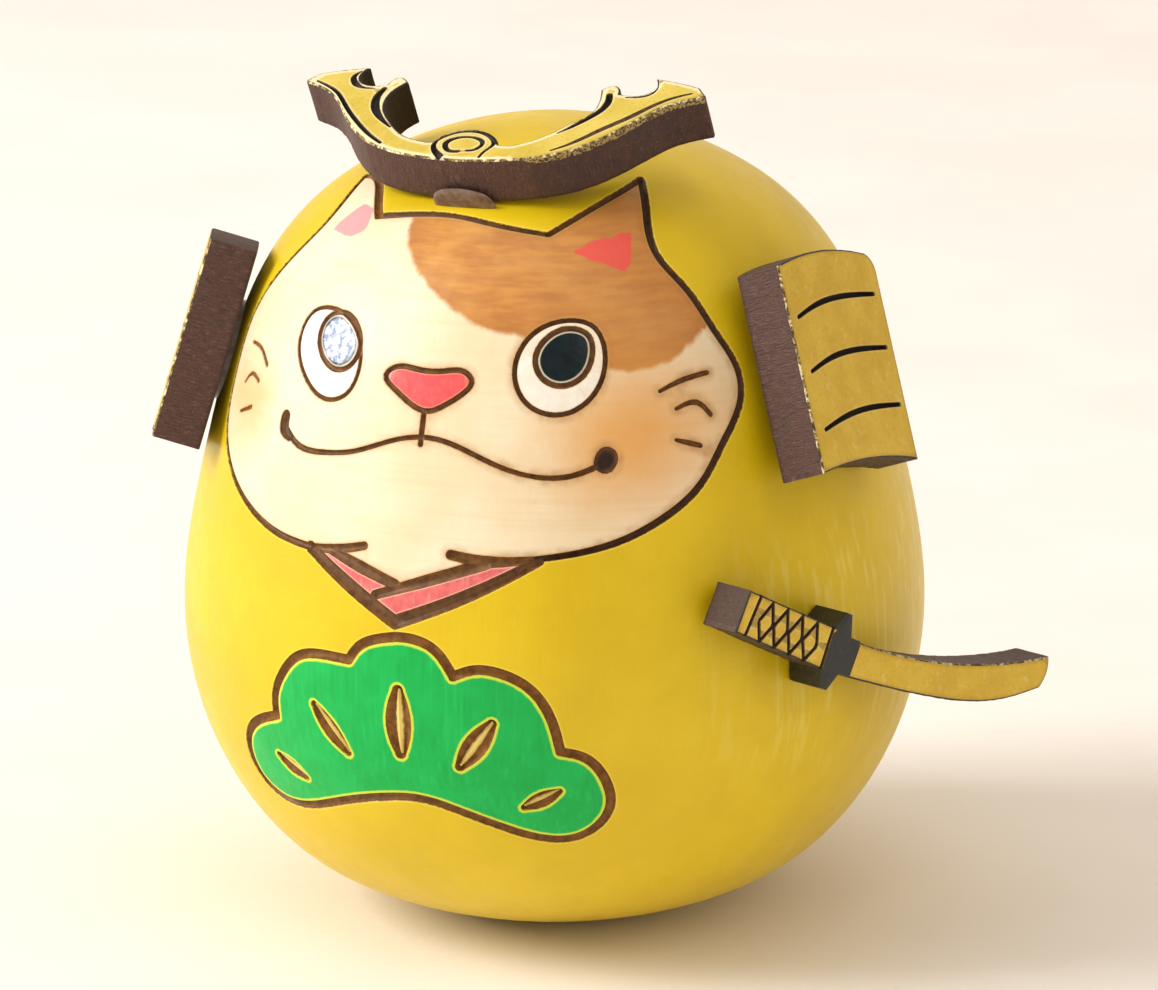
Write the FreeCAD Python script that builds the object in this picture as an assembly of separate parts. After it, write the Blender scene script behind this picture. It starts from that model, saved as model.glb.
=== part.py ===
"""A turned wooden daruma in the shape of a samurai cat, with four laser-cut plates glued on.

Millimetres, +Z up. The origin is the centre of the flat foot, and the face looks along -Y.
"""

import FreeCAD, Part
import math
import os

from FreeCAD import Placement, Rotation, Vector

# Body: a solid of revolution. Each entry is radius, height.
FOOT_RADIUS = 9.0
BODY_HEIGHT = 65.5
BELLY_RADIUS = 30.5
BELLY_HEIGHT = 25.4
SIDE_CURVE = [
    (13.0, 1.3),
    (20.0, 4.3),
    (27.3, 12.5),
    (BELLY_RADIUS, BELLY_HEIGHT),
    (28.5, 38.5),
    (25.4, 49.5),
    (22.6, 54.95),
    (18.2, 59.6),
    (12.65, 62.8),
    (6.5, 64.8),
    (0.0, BODY_HEIGHT),
]
FOOT_RISE = 0.25

# Ballast: a steel slug in a blind bore, closed by a wooden plug flush with the foot.
BORE_RADIUS = 7.0
PLUG_THICKNESS = 4.0
SLUG_LENGTH = 14.0
SLUG_CLEARANCE = 0.05
SLUG_CHAMFER = 0.6
BORE_END_GAP = 0.3

# The sheet that all four plates are cut from, and the glue film behind them.
SHEET = 4.0
GLUE_FILM = 0.15

# Where each plate meets the body: azimuth (0 is the front, 90 the doll's left side) and
# elevation of its outward normal, then how the plate lies on that plane. `shift` moves its own
# centre from the point of contact (right, up) and `turn` rotates it, seen from outside.
CREST_SEAT = {"azimuth": -6.5, "elevation": 64.6, "shift": (0.95, -0.07), "turn": 6.2}
LEFT_SODE_SEAT = {"azimuth": -67.0, "elevation": 17.0, "shift": (0.2, -0.1), "turn": 13.5}
RIGHT_SODE_SEAT = {"azimuth": 80.0, "elevation": 20.5, "shift": (-3.2, -0.7), "turn": -8.0}
SWORD_SEAT = {"azimuth": 62.0, "elevation": 3.0, "shift": (0.15, 1.4), "turn": -28.0}
SWORD_FLAT_DEPTH = 0.4

# Crest: half outline, mirrored about its own vertical axis; the right horn is a little broader.
CREST_BOTTOM = (0.0, -1.8)
CREST_LOWER_EDGE = [(5.2, -1.25), (9.0, 0.25), (12.45, 3.75), (14.8, 6.45)]
CREST_HORN = (17.6, 7.8)
CREST_HORN_TOP = (16.6, 8.95)
CREST_LOBE = (14.6, 9.55)
CREST_HOOK = (12.5, 9.95)
CREST_BITE = [(12.9, 8.7), (12.4, 7.9), (11.4, 7.6)]
CREST_BITE_END = (10.2, 7.7)
CREST_CURL = [(10.0, 8.4), (9.45, 8.85)]
CREST_CURL_TIP = (8.4, 8.15)
CREST_HOLLOW_LEFT = [(9.3, 6.6), (9.2, 4.8), (7.9, 2.9), (5.9, 1.15)]
CREST_HOLLOW_RIGHT = [(8.8, 6.5), (8.65, 5.1), (7.4, 3.5), (5.6, 1.6)]
CREST_HOLLOW_END = (3.6, 0.45)

# The spiral boss stands a little left of the crest's middle.
BOSS_CENTRE = -0.4
BOSS_HALF_WIDTH = 2.9
BOSS_FOOT = 0.5
BOSS_TOP = 2.4

# Shoulder guards: a panel with an arched top and underside, rounded at the rear upper corner.
SODE_WIDTH = 13.7
SODE_HEIGHT = 16.6
SODE_TOP_ARCH = 0.9
SODE_FOOT_ARCH = 0.6
SODE_CORNER = 1.3

# Sword: along +X from the pommel to the tip, with the guard's near face at X = 0.
HANDLE_LENGTH = 9.9
HANDLE_HALF_WIDTH = 1.75
GUARD_THICKNESS = 1.9
GUARD_TOP = 3.2
GUARD_BOTTOM = -3.1
GUARD_TIP_WIDTH = 0.55
COLLAR_END = 3.0
COLLAR_HALF_WIDTH = 1.55
BLADE_ROOT = (1.45, -1.5)
BLADE_BACK = [(13.2, 2.9), (23.1, 6.55)]
BLADE_END = [(23.5, 5.1), (23.2, 3.85)]
BLADE_EDGE = [(20.0, 1.95), (12.3, -0.3)]

# Glue: a pad behind each plate, and the beads that were squeezed out.
PAD_DEPTH = 1.2
SODE_PAD = (4.2, 4.2)
CREST_PAD = (3.0, 1.5)
SWORD_PAD = (4.2, 1.5)
SWORD_PAD_CENTRE = (-0.6, 0.0)
CREST_BEAD = {"centre": (-0.3, -1.62, 0.1), "size": (2.7, 0.3, 1.75)}
SWORD_BEAD = {"centre": (0.9, -2.75, 0.5), "size": (1.0, 0.75, 1.0)}

PROFILE_SAMPLES = 4000


def profile_curve():
    """The body's side, from the rim of the foot to the crown, in the XZ plane."""
    points = [Vector(FOOT_RADIUS, 0, 0), *(Vector(r, 0, z) for r, z in SIDE_CURVE)]
    curve = Part.BSplineCurve()
    curve.interpolate(
        Points=points,
        InitialTangent=Vector(1, 0, FOOT_RISE),
        FinalTangent=Vector(-1, 0, 0),
    )
    return curve


def normal_of(azimuth, elevation):
    """The unit vector that points outward at an azimuth and an elevation."""
    a = math.radians(azimuth)
    e = math.radians(elevation)
    return Vector(math.sin(a) * math.cos(e), -math.cos(a) * math.cos(e), math.sin(e))


def contact_point(azimuth, elevation):
    """Where a plane with that outward normal touches the body."""
    curve = profile_curve()
    a = math.radians(azimuth)
    e = math.radians(elevation)
    first = curve.FirstParameter
    step = (curve.LastParameter - first) / PROFILE_SAMPLES
    samples = [curve.value(first + i * step) for i in range(PROFILE_SAMPLES + 1)]
    best = max(samples, key=lambda p: p.x * math.cos(e) + p.z * math.sin(e))
    return Vector(math.sin(a) * best.x, -math.cos(a) * best.x, best.z)


def seat_placement(seat, lift):
    """Puts a plate drawn in XY, outer face towards +Z, on its seat, `lift` above the contact."""
    a = math.radians(seat["azimuth"])
    outward = normal_of(seat["azimuth"], seat["elevation"])
    across = Vector(math.cos(a), math.sin(a), 0)
    upward = outward.cross(across)
    origin = contact_point(seat["azimuth"], seat["elevation"])
    origin = origin + outward * lift + across * seat["shift"][0] + upward * seat["shift"][1]
    axes = Rotation(across, upward, outward, "ZXY")
    return Placement(origin, axes * Rotation(Vector(0, 0, 1), seat["turn"]))


def contact_placement(seat, lift):
    """The same plane, but centred on the point of contact."""
    at_contact = {**seat, "shift": (0.0, 0.0)}
    return seat_placement(at_contact, lift)


def spline(points):
    """A smooth edge through points of a flat outline."""
    curve = Part.BSplineCurve()
    curve.interpolate([Vector(x, y, 0) for x, y in points])
    return curve.toShape()


def line(start, end):
    """A straight edge of a flat outline."""
    return Part.makeLine(Vector(*start, 0), Vector(*end, 0))


def arc(start, middle, end):
    """A round edge of a flat outline, through three points."""
    return Part.Arc(Vector(*start, 0), Vector(*middle, 0), Vector(*end, 0)).toShape()


def plate(edges):
    """A piece of the sheet with the outline that the edges make."""
    wire = Part.Wire(Part.__sortEdges__(edges))
    return Part.Face(wire).extrude(Vector(0, 0, SHEET))


def bored_body():
    """The turned body, with the ballast bore in its foot and the sword's flat on its side."""
    side = profile_curve().toShape()
    foot = Part.makeLine(Vector(0, 0, 0), Vector(FOOT_RADIUS, 0, 0))
    axis = Part.makeLine(Vector(0, 0, BODY_HEIGHT), Vector(0, 0, 0))
    section = Part.Face(Part.Wire([foot, side, axis]))
    turned = section.revolve(Vector(0, 0, 0), Vector(0, 0, 1), 360)
    bore = Part.makeCylinder(BORE_RADIUS, PLUG_THICKNESS + SLUG_LENGTH + BORE_END_GAP)
    flat = Part.makeBox(
        BELLY_RADIUS, BELLY_RADIUS, BELLY_RADIUS, Vector(-BELLY_RADIUS / 2, -BELLY_RADIUS / 2, 0)
    )
    flat.Placement = contact_placement(SWORD_SEAT, -SWORD_FLAT_DEPTH)
    return turned.cut(bore).cut(flat)


def base_weight():
    """The steel slug, with both rims chamfered."""
    radius = BORE_RADIUS - SLUG_CLEARANCE
    slug = Part.makeCylinder(radius, SLUG_LENGTH, Vector(0, 0, PLUG_THICKNESS))
    rims = [e for e in slug.Edges if isinstance(e.Curve, Part.Circle)]
    return slug.makeChamfer(SLUG_CHAMFER, rims)


def base_plug():
    """The wooden plug under the slug, flush with the foot."""
    return Part.makeCylinder(BORE_RADIUS, PLUG_THICKNESS)


def crest_half(side, hollow_edge):
    """One half of the crest's outline, from the bottom centre to the floor of the hollow."""

    def at(point):
        return (side * point[0], point[1])

    lower = [CREST_BOTTOM, *(at(p) for p in CREST_LOWER_EDGE), at(CREST_HORN)]
    bite = [at(CREST_HOOK), *(at(p) for p in CREST_BITE), at(CREST_BITE_END)]
    curl = [at(CREST_BITE_END), *(at(p) for p in CREST_CURL), at(CREST_CURL_TIP)]
    hollow = [at(CREST_CURL_TIP), *(at(p) for p in hollow_edge), at(CREST_HOLLOW_END)]
    return [
        spline(lower),
        line(at(CREST_HORN), at(CREST_HORN_TOP)),
        arc(at(CREST_HORN_TOP), at(CREST_LOBE), at(CREST_HOOK)),
        spline(bite),
        spline(curl),
        spline(hollow),
    ]


def crest():
    """The gold crest on the brow: a crescent with curled horns round a spiral boss."""
    left_end = (-CREST_HOLLOW_END[0], CREST_HOLLOW_END[1])
    left_foot = (BOSS_CENTRE - BOSS_HALF_WIDTH, BOSS_FOOT)
    right_foot = (BOSS_CENTRE + BOSS_HALF_WIDTH, BOSS_FOOT)
    boss = [
        line(left_end, left_foot),
        arc(left_foot, (BOSS_CENTRE, BOSS_TOP), right_foot),
        line(right_foot, CREST_HOLLOW_END),
    ]
    left, right = crest_half(-1, CREST_HOLLOW_LEFT), crest_half(1, CREST_HOLLOW_RIGHT)
    shape = plate([*left, *right, *boss])
    shape.Placement = seat_placement(CREST_SEAT, GLUE_FILM)
    return shape


def sode(seat, rear):
    """A shoulder guard. `rear` is the side of its own X, -1 or 1, that faces backwards."""
    half = SODE_WIDTH / 2
    top = SODE_HEIGHT / 2
    foot = -SODE_HEIGHT / 2
    edges = [
        line((-half, foot), (-half, top)),
        arc((-half, top), (0, top + SODE_TOP_ARCH), (half, top)),
        line((half, top), (half, foot)),
        arc((half, foot), (0, foot + SODE_FOOT_ARCH), (-half, foot)),
    ]
    panel = plate(edges)
    upright = [e for e in panel.Edges if e.BoundBox.ZLength > SHEET / 2]
    corner = max(upright, key=lambda e: e.BoundBox.Center.y + rear * e.BoundBox.Center.x)
    panel = panel.makeFillet(SODE_CORNER, [corner])
    panel.Placement = seat_placement(seat, GLUE_FILM)
    return panel


def sword():
    """The sword, cut whole from the sheet: handle, guard, blade collar and curved blade."""
    grip = HANDLE_HALF_WIDTH
    collar = COLLAR_HALF_WIDTH
    lug_left = (GUARD_THICKNESS - GUARD_TIP_WIDTH) / 2
    lug_right = lug_left + GUARD_TIP_WIDTH
    corners = [
        (COLLAR_END, BLADE_ROOT[0]),
        (COLLAR_END, collar),
        (GUARD_THICKNESS, collar),
        (lug_right, GUARD_TOP),
        (lug_left, GUARD_TOP),
        (0, grip),
        (-HANDLE_LENGTH, grip),
        (-HANDLE_LENGTH, -grip),
        (0, -grip),
        (lug_left, GUARD_BOTTOM),
        (lug_right, GUARD_BOTTOM),
        (GUARD_THICKNESS, -collar),
        (COLLAR_END, BLADE_ROOT[1]),
    ]
    edges = [line(a, b) for a, b in zip(corners, corners[1:])]
    edges.append(arc((COLLAR_END, BLADE_ROOT[0]), *BLADE_BACK))
    edges.append(arc(BLADE_BACK[-1], *BLADE_END))
    edges.append(spline([BLADE_END[-1], *BLADE_EDGE, (COLLAR_END, BLADE_ROOT[1])]))
    shape = plate(edges)
    shape.Placement = seat_placement(SWORD_SEAT, GLUE_FILM - SWORD_FLAT_DEPTH)
    return shape


def oval_pad(size):
    """An oval glue pad that reaches PAD_DEPTH below the plane z = 0."""
    along, across = size
    disc = Part.makeCylinder(1.0, PAD_DEPTH, Vector(0, 0, -PAD_DEPTH))
    stretch = FreeCAD.Matrix()
    stretch.scale(Vector(along, across, 1.0))
    return disc.transformGeometry(stretch)


def bead(spec):
    """A squeezed-out drop of glue, as an ellipsoid."""
    ball = Part.makeSphere(1.0)
    stretch = FreeCAD.Matrix()
    stretch.scale(Vector(*spec["size"]))
    drop = ball.transformGeometry(stretch)
    drop.translate(Vector(*spec["centre"]))
    return drop


def one_solid(shape):
    """The largest solid of a cut result."""
    return max(shape.Solids, key=lambda s: s.Volume)


def sode_glue(seat, body):
    """The pad between a shoulder guard and the body."""
    pad = oval_pad(SODE_PAD)
    pad.Placement = contact_placement(seat, GLUE_FILM)
    return one_solid(pad.cut(body))


def crest_glue(body, crest_shape):
    """The pad behind the crest, with the bead that shows at the crest's lower edge."""
    pad = oval_pad(CREST_PAD)
    pad.Placement = contact_placement(CREST_SEAT, GLUE_FILM)
    drop = bead(CREST_BEAD)
    drop.Placement = seat_placement(CREST_SEAT, GLUE_FILM).multiply(drop.Placement)
    return one_solid(pad.fuse(drop).cut(crest_shape).cut(body))


def sword_glue(body, sword_shape):
    """The film under the sword, with the bead beside the guard's lower lug."""
    pad = oval_pad(SWORD_PAD)
    pad.translate(Vector(*SWORD_PAD_CENTRE, 0))
    drop = bead(SWORD_BEAD)
    seat = seat_placement(SWORD_SEAT, GLUE_FILM - SWORD_FLAT_DEPTH)
    pad.Placement = seat.multiply(pad.Placement)
    drop.Placement = seat.multiply(drop.Placement)
    return one_solid(pad.fuse(drop).cut(sword_shape).cut(body))


def main():
    os.makedirs("parts", exist_ok=True)
    body = bored_body()
    crest_shape = crest()
    sword_shape = sword()
    nodes = {
        "body": body,
        "base_weight": base_weight(),
        "base_plug": base_plug(),
        "crest": crest_shape,
        "crest_glue": crest_glue(body, crest_shape),
        "left_sode": sode(LEFT_SODE_SEAT, -1),
        "left_sode_glue": sode_glue(LEFT_SODE_SEAT, body),
        "right_sode": sode(RIGHT_SODE_SEAT, 1),
        "right_sode_glue": sode_glue(RIGHT_SODE_SEAT, body),
        "sword": sword_shape,
        "sword_glue": sword_glue(body, sword_shape),
    }
    for name, shape in nodes.items():
        box = shape.BoundBox
        print(name, shape.isValid(), len(shape.Solids), round(shape.Volume, 3), box)
        shape.exportStep(f"parts/{name}.step")


main()
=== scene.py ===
import math

import bpy
import numpy as np
from mathutils import Matrix, Vector, noise
from mathutils.geometry import delaunay_2d_cdt


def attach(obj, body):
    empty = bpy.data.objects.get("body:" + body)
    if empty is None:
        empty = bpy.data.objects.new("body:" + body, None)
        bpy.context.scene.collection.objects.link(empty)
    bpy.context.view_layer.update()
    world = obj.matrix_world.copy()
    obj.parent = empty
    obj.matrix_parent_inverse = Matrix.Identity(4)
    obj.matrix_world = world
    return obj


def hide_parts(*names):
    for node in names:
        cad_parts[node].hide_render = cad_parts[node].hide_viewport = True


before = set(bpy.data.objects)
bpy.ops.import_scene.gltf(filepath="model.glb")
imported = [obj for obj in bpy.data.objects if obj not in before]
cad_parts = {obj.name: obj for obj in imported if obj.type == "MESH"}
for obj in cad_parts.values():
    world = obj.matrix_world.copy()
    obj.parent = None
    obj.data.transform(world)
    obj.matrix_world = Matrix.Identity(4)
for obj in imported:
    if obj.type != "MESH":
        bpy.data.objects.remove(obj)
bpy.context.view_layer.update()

# Everything below is in millimetres until a mesh is made.
MM = 0.001

# ---------------------------------------------------------------- the turned body, as in CAD
FOOT_RADIUS = 9.0
BODY_HEIGHT = 65.5
SIDE_CURVE = [
    (FOOT_RADIUS, 0.0), (13.0, 1.3), (20.0, 4.3), (27.3, 12.5), (30.5, 25.4), (28.5, 38.5),
    (25.4, 49.5), (22.6, 54.95), (18.2, 59.6), (12.65, 62.8), (6.5, 64.8), (0.0, BODY_HEIGHT),
]
FOOT_RISE = 0.25
BORE_RADIUS = 7.0
BORE_END = 18.3
BELLY_RADIUS = 30.5
# The side and the bore's roof stop this far from the axis, where a fan closes them.
POLE_RADIUS = 0.35
SHEET = 4.0
GLUE_FILM = 0.15
CREST_SEAT = {"azimuth": -6.5, "elevation": 64.6, "shift": (0.95, -0.07), "turn": 6.2}
LEFT_SODE_SEAT = {"azimuth": -67.0, "elevation": 17.0, "shift": (0.2, -0.1), "turn": 13.5}
RIGHT_SODE_SEAT = {"azimuth": 80.0, "elevation": 20.5, "shift": (-3.2, -0.7), "turn": -8.0}
SWORD_SEAT = {"azimuth": 62.0, "elevation": 3.0, "shift": (0.15, 1.4), "turn": -28.0}
SWORD_FLAT_DEPTH = 0.4


# ---------------------------------------------------------------- curves
def spline(points, closed=False, ends=None, per_span=40):
    """A smooth curve through points. `ends` gives both end directions."""
    p = np.array(points, float)
    if closed:
        p = np.vstack([p, p[:1]])
    h = np.maximum(np.linalg.norm(np.diff(p, axis=0), axis=1), 1e-9)
    chord = np.diff(p, axis=0) / h[:, None]
    n = len(p)
    a = np.zeros((n, n))
    b = np.zeros((n, 2))
    for i in range(1, n - 1):
        a[i, i - 1], a[i, i], a[i, i + 1] = h[i], 2 * (h[i - 1] + h[i]), h[i - 1]
        b[i] = 3 * (h[i] * chord[i - 1] + h[i - 1] * chord[i])
    if closed:
        a[0, 0], a[0, -1] = 1, -1
        a[-1, -2], a[-1, -1], a[-1, 0], a[-1, 1] = h[0], h[0] + h[-1], h[0] + h[-1], h[-1]
        b[-1] = 3 * (h[0] * chord[-1] + h[-1] * chord[0])
    elif ends is None:
        a[0, 0], a[0, 1] = 2, 1
        b[0] = 3 * chord[0]
        a[-1, -1], a[-1, -2] = 2, 1
        b[-1] = 3 * chord[-1]
    else:
        a[0, 0] = a[-1, -1] = 1
        for row, direction in zip((0, -1), ends):
            b[row] = np.array(direction) / np.linalg.norm(direction)
    m = np.linalg.solve(a, b)
    t = np.linspace(0, 1, per_span, endpoint=False)[:, None]
    parts = []
    for i in range(n - 1):
        parts.append(
            (2 * t**3 - 3 * t**2 + 1) * p[i] + (t**3 - 2 * t**2 + t) * h[i] * m[i]
            + (3 * t**2 - 2 * t**3) * p[i + 1] + (t**3 - t**2) * h[i] * m[i + 1]
        )
    return np.vstack([*parts, p[-1:]])


def arc3(start, middle, end, count=40):
    """Points on the circle through three points."""
    a, b, c = (complex(*q) for q in (start, middle, end))
    w = (c - a) / (b - a)
    centre = (b - a) * (w - abs(w) ** 2) / (2j * w.imag) + a
    first = np.angle(a - centre)
    turn_b = (np.angle(b - centre) - first) % (2 * math.pi)
    turn_c = (np.angle(c - centre) - first) % (2 * math.pi)
    if turn_b > turn_c:
        turn_c -= 2 * math.pi
    angles = first + np.linspace(0, turn_c, count)
    ring = centre + abs(a - centre) * np.exp(1j * angles)
    return np.stack([ring.real, ring.imag], -1)


def chain(*parts):
    """Joins curves end to end, keeping the corners between them."""
    joined = [np.array(parts[0], float)]
    for part in parts[1:]:
        joined.append(np.array(part, float)[1:])
    return np.vstack(joined)


def resample(path, step, scale=None):
    """Evenly spaced points, `step` millimetres apart on the real surface."""
    length = np.linalg.norm(np.diff(path, axis=0), axis=1)
    if scale is not None:
        length = length / scale((path[1:] + path[:-1]) / 2)
    along = np.concatenate([[0], np.cumsum(length)])
    count = max(2, int(round(along[-1] / step)) + 1)
    at = np.linspace(0, along[-1], count)
    return np.stack([np.interp(at, along, path[:, i]) for i in (0, 1)], -1)


# ---------------------------------------------------------------- the body as a flat chart
def body_profile():
    """Radius, height and distance from the crown, down the side, under the foot and up the bore."""
    side = spline(SIDE_CURVE, ends=((1, FOOT_RISE), (-1, 0)), per_span=120)[::-1]
    side = side[side[:, 0] > POLE_RADIUS]
    foot = np.stack([np.linspace(FOOT_RADIUS, BORE_RADIUS, 20), np.zeros(20)], -1)[1:]
    wall = np.stack([np.full(80, BORE_RADIUS), np.linspace(0, BORE_END, 80)], -1)[1:]
    roof = np.stack([np.linspace(BORE_RADIUS, POLE_RADIUS, 60), np.full(60, BORE_END)], -1)[1:]
    line = np.vstack([side, foot, wall, roof])
    s = np.concatenate([[0], np.cumsum(np.linalg.norm(np.diff(line, axis=0), axis=1))])
    return line[:, 0], line[:, 1], s, len(side)


RADIUS, HEIGHT, DOWN, SIDE_COUNT = body_profile()
FLOW = np.concatenate(
    [[0], np.cumsum(np.diff(DOWN) / ((RADIUS[1:] + RADIUS[:-1]) / 2))]
) * BELLY_RADIUS


def chart_scale(points):
    """How many chart millimetres make one real millimetre at chart points."""
    return BELLY_RADIUS / np.interp(points[:, 1], FLOW, RADIUS)


def chart_to_space(points):
    """Real points on the body for chart points (angle times belly radius, flow)."""
    angle = points[:, 0] / BELLY_RADIUS
    r = np.interp(points[:, 1], FLOW, RADIUS)
    z = np.interp(points[:, 1], FLOW, HEIGHT)
    return np.stack([r * np.sin(angle), -r * np.cos(angle), z], -1)


def chart_normals(points):
    """Outward unit normals of the body at chart points."""
    angle = points[:, 0] / BELLY_RADIUS
    low = np.maximum(points[:, 1] - 0.2, FLOW[0])
    high = np.minimum(points[:, 1] + 0.2, FLOW[-1])
    dr = np.interp(high, FLOW, RADIUS) - np.interp(low, FLOW, RADIUS)
    dz = np.interp(high, FLOW, HEIGHT) - np.interp(low, FLOW, HEIGHT)
    size = np.maximum(np.hypot(dr, dz), 1e-9)
    out, up = -dz / size, dr / size
    return np.stack([out * np.sin(angle), -out * np.cos(angle), up], -1)


def side_at(z):
    """The radius and the chart's flow of the body's side at a height."""
    heights = HEIGHT[:SIDE_COUNT][::-1]
    return [np.interp(z, heights, line[:SIDE_COUNT][::-1]) for line in (RADIUS, FLOW)]


def front(points):
    """Chart points for points drawn on the front as (x, z) millimetres."""
    p = np.array(points, float)
    r, flow = side_at(p[:, 1])
    return np.stack([np.arcsin(np.clip(p[:, 0] / r, -1, 1)) * BELLY_RADIUS, flow], -1)


def flat_scale(points):
    """The scale of a flat plate: the same everywhere."""
    return np.ones(len(points))


# ---------------------------------------------------------------- engraved strokes
def stroke(path, half, depth, closed=False, kind="groove", char=1.0, scale=flat_scale,
           step=0.3, lift=None):
    """An engraved line. `half` is its half width, one number or one per equal stretch, and
    `char` is how black it burnt."""
    pts = resample(path, step, scale)
    share = np.linspace(0, 1, len(pts))
    halves = np.atleast_1d(np.array(half, float))
    width = np.interp(share, np.linspace(0, 1, len(halves)), halves)
    space = lift(pts) if lift else np.column_stack([pts, np.zeros(len(pts))])
    return {
        "path": pts, "space": space, "half": width, "depth": depth,
        "closed": closed, "kind": kind, "scale": scale, "char": char,
    }


def contours(s, multiple):
    """Loops around a stroke at a multiple of its half width."""
    p = s["path"]
    t = np.gradient(p, axis=0)
    if s["closed"]:
        t[0] = t[-1] = (p[1] - p[0]) + (p[-1] - p[-2])
    t /= np.maximum(np.linalg.norm(t, axis=1), 1e-9)[:, None]
    side = np.stack([-t[:, 1], t[:, 0]], -1)
    d = (multiple * s["half"] * s["scale"](p))[:, None]
    left, right = p + side * d, p - side * d
    if s["closed"]:
        return [left[:-1], right[:-1]]
    turn = np.linspace(0, math.pi, 8)[1:-1, None]
    tail = p[-1] + d[-1] * (side[-1] * np.cos(turn) + t[-1] * np.sin(turn))
    head = p[0] + d[0] * (-side[0] * np.cos(turn) - t[0] * np.sin(turn))
    return [np.vstack([left, tail, right[::-1], head])]


# Loops of points run beside each stroke at these multiples of its half width.
SECTION = (0.45, 0.8, 1.0, 1.3)
# Points handled at a time, to spare memory.
CHUNK = 4000


def groove_depth(x):
    """Depth share across a groove, from 1 on its centre line to 0 at its lip."""
    return np.where(x < 1, np.maximum(1 - np.clip(x, 0, 1) ** 2, 0) ** 0.7, 0)


def slot_depth(x):
    """Depth share across a slot that keeps a ridge along its middle."""
    return np.where(x < 1, np.clip((1 - x) / 0.3, 0, 1) * (0.4 + 0.6 * np.clip(x / 0.5, 0, 1)), 0)


def segment_distance(points, a, b):
    """Distance of points to the nearest piece of a polyline, and where that is along it."""
    best = np.full(len(points), 1e9)
    where = np.zeros(len(points))
    ab = b - a
    length = np.maximum((ab**2).sum(-1), 1e-12)
    for first in range(0, len(points), CHUNK):
        p = points[first:first + CHUNK, None]
        t = np.clip(((p - a) * ab).sum(-1) / length, 0, 1)
        d = np.linalg.norm(p - a - t[..., None] * ab, axis=-1)
        i = d.argmin(1)
        rows = np.arange(len(i))
        best[first:first + CHUNK] = d[rows, i]
        where[first:first + CHUNK] = i + t[rows, i]
    return best, where


def around(s, space, reach):
    """The points near a stroke, their distance to it and its half width there."""
    low, high = s["space"].min(0) - reach, s["space"].max(0) + reach
    near = np.where(((space > low) & (space < high)).all(1))[0]
    d, where = segment_distance(space[near], s["space"][:-1], s["space"][1:])
    return near, d, np.interp(where, np.arange(len(s["half"])), s["half"])


def carve(space, strokes):
    """Depth, distance to the nearest lip, ridge share and char for each point."""
    depth = np.zeros(len(space))
    edge = np.full(len(space), LIP_REACH)
    ridge = np.zeros(len(space))
    char = np.ones(len(space))
    for s in strokes:
        near, d, half = around(s, space, LIP_REACH)
        if not len(near):
            continue
        x = d / half
        shape = slot_depth if s["kind"] == "slot" else groove_depth
        depth[near] = np.maximum(depth[near], s["depth"] * shape(x))
        char[near] = np.where(d - half < edge[near], s["char"], char[near])
        edge[near] = np.minimum(edge[near], d - half)
        if s["kind"] == "slot":
            ridge[near] = np.maximum(ridge[near], np.clip(1 - x / 0.5, 0, 1))
    return depth, edge, ridge, char


def inside(points, polygon):
    """Which flat points lie in a polygon."""
    low, high = polygon.min(0), polygon.max(0)
    near = np.where(((points > low) & (points < high)).all(1))[0]
    result = np.zeros(len(points), bool)
    a, b = polygon, np.roll(polygon, -1, axis=0)
    for first in range(0, len(near), CHUNK):
        rows = near[first:first + CHUNK]
        x, y = points[rows, 0][:, None], points[rows, 1][:, None]
        straddles = (a[:, 1] > y) != (b[:, 1] > y)
        rise = np.where(b[:, 1] == a[:, 1], 1e-12, b[:, 1] - a[:, 1])
        cross = a[:, 0] + (y - a[:, 1]) * (b[:, 0] - a[:, 0]) / rise
        result[rows] = (straddles & (x < cross)).sum(1) % 2 == 1
    return result


def triangulate(points, loops, open_lines=()):
    """Triangles over free points and the loops and lines they must respect."""
    verts = [np.array(points)]
    edges = []
    base = len(points)
    for line, closed in [(q, True) for q in loops] + [(q, False) for q in open_lines]:
        n = len(line)
        verts.append(line)
        edges += [(base + i, base + i + 1) for i in range(n - 1)]
        if closed:
            edges.append((base + n - 1, base))
        base += n
    flat = np.vstack(verts)
    made = delaunay_2d_cdt([Vector(v) for v in flat], edges, [], 0, 1e-5)
    return np.array([tuple(v) for v in made[0]]), np.array(made[2])


def mesh_object(name, verts, faces, materials, indices, values, sharp=50.0):
    """A Blender object in metres with material slots and per-point values."""
    mesh = bpy.data.meshes.new(name)
    mesh.from_pydata((np.array(verts) * MM).tolist(), [], [list(map(int, f)) for f in faces])
    for m in materials:
        mesh.materials.append(m)
    mesh.polygons.foreach_set("material_index", np.array(indices, np.int32))
    mesh.polygons.foreach_set("use_smooth", np.ones(len(mesh.polygons), bool))
    mesh.set_sharp_from_angle(angle=math.radians(sharp))
    for key, data in values.items():
        mesh.attributes.new(key, "FLOAT", "POINT").data.foreach_set(
            "value", np.array(data, np.float32)
        )
    mesh.validate()
    obj = bpy.data.objects.new(name, mesh)
    bpy.context.scene.collection.objects.link(obj)
    return obj


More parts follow.
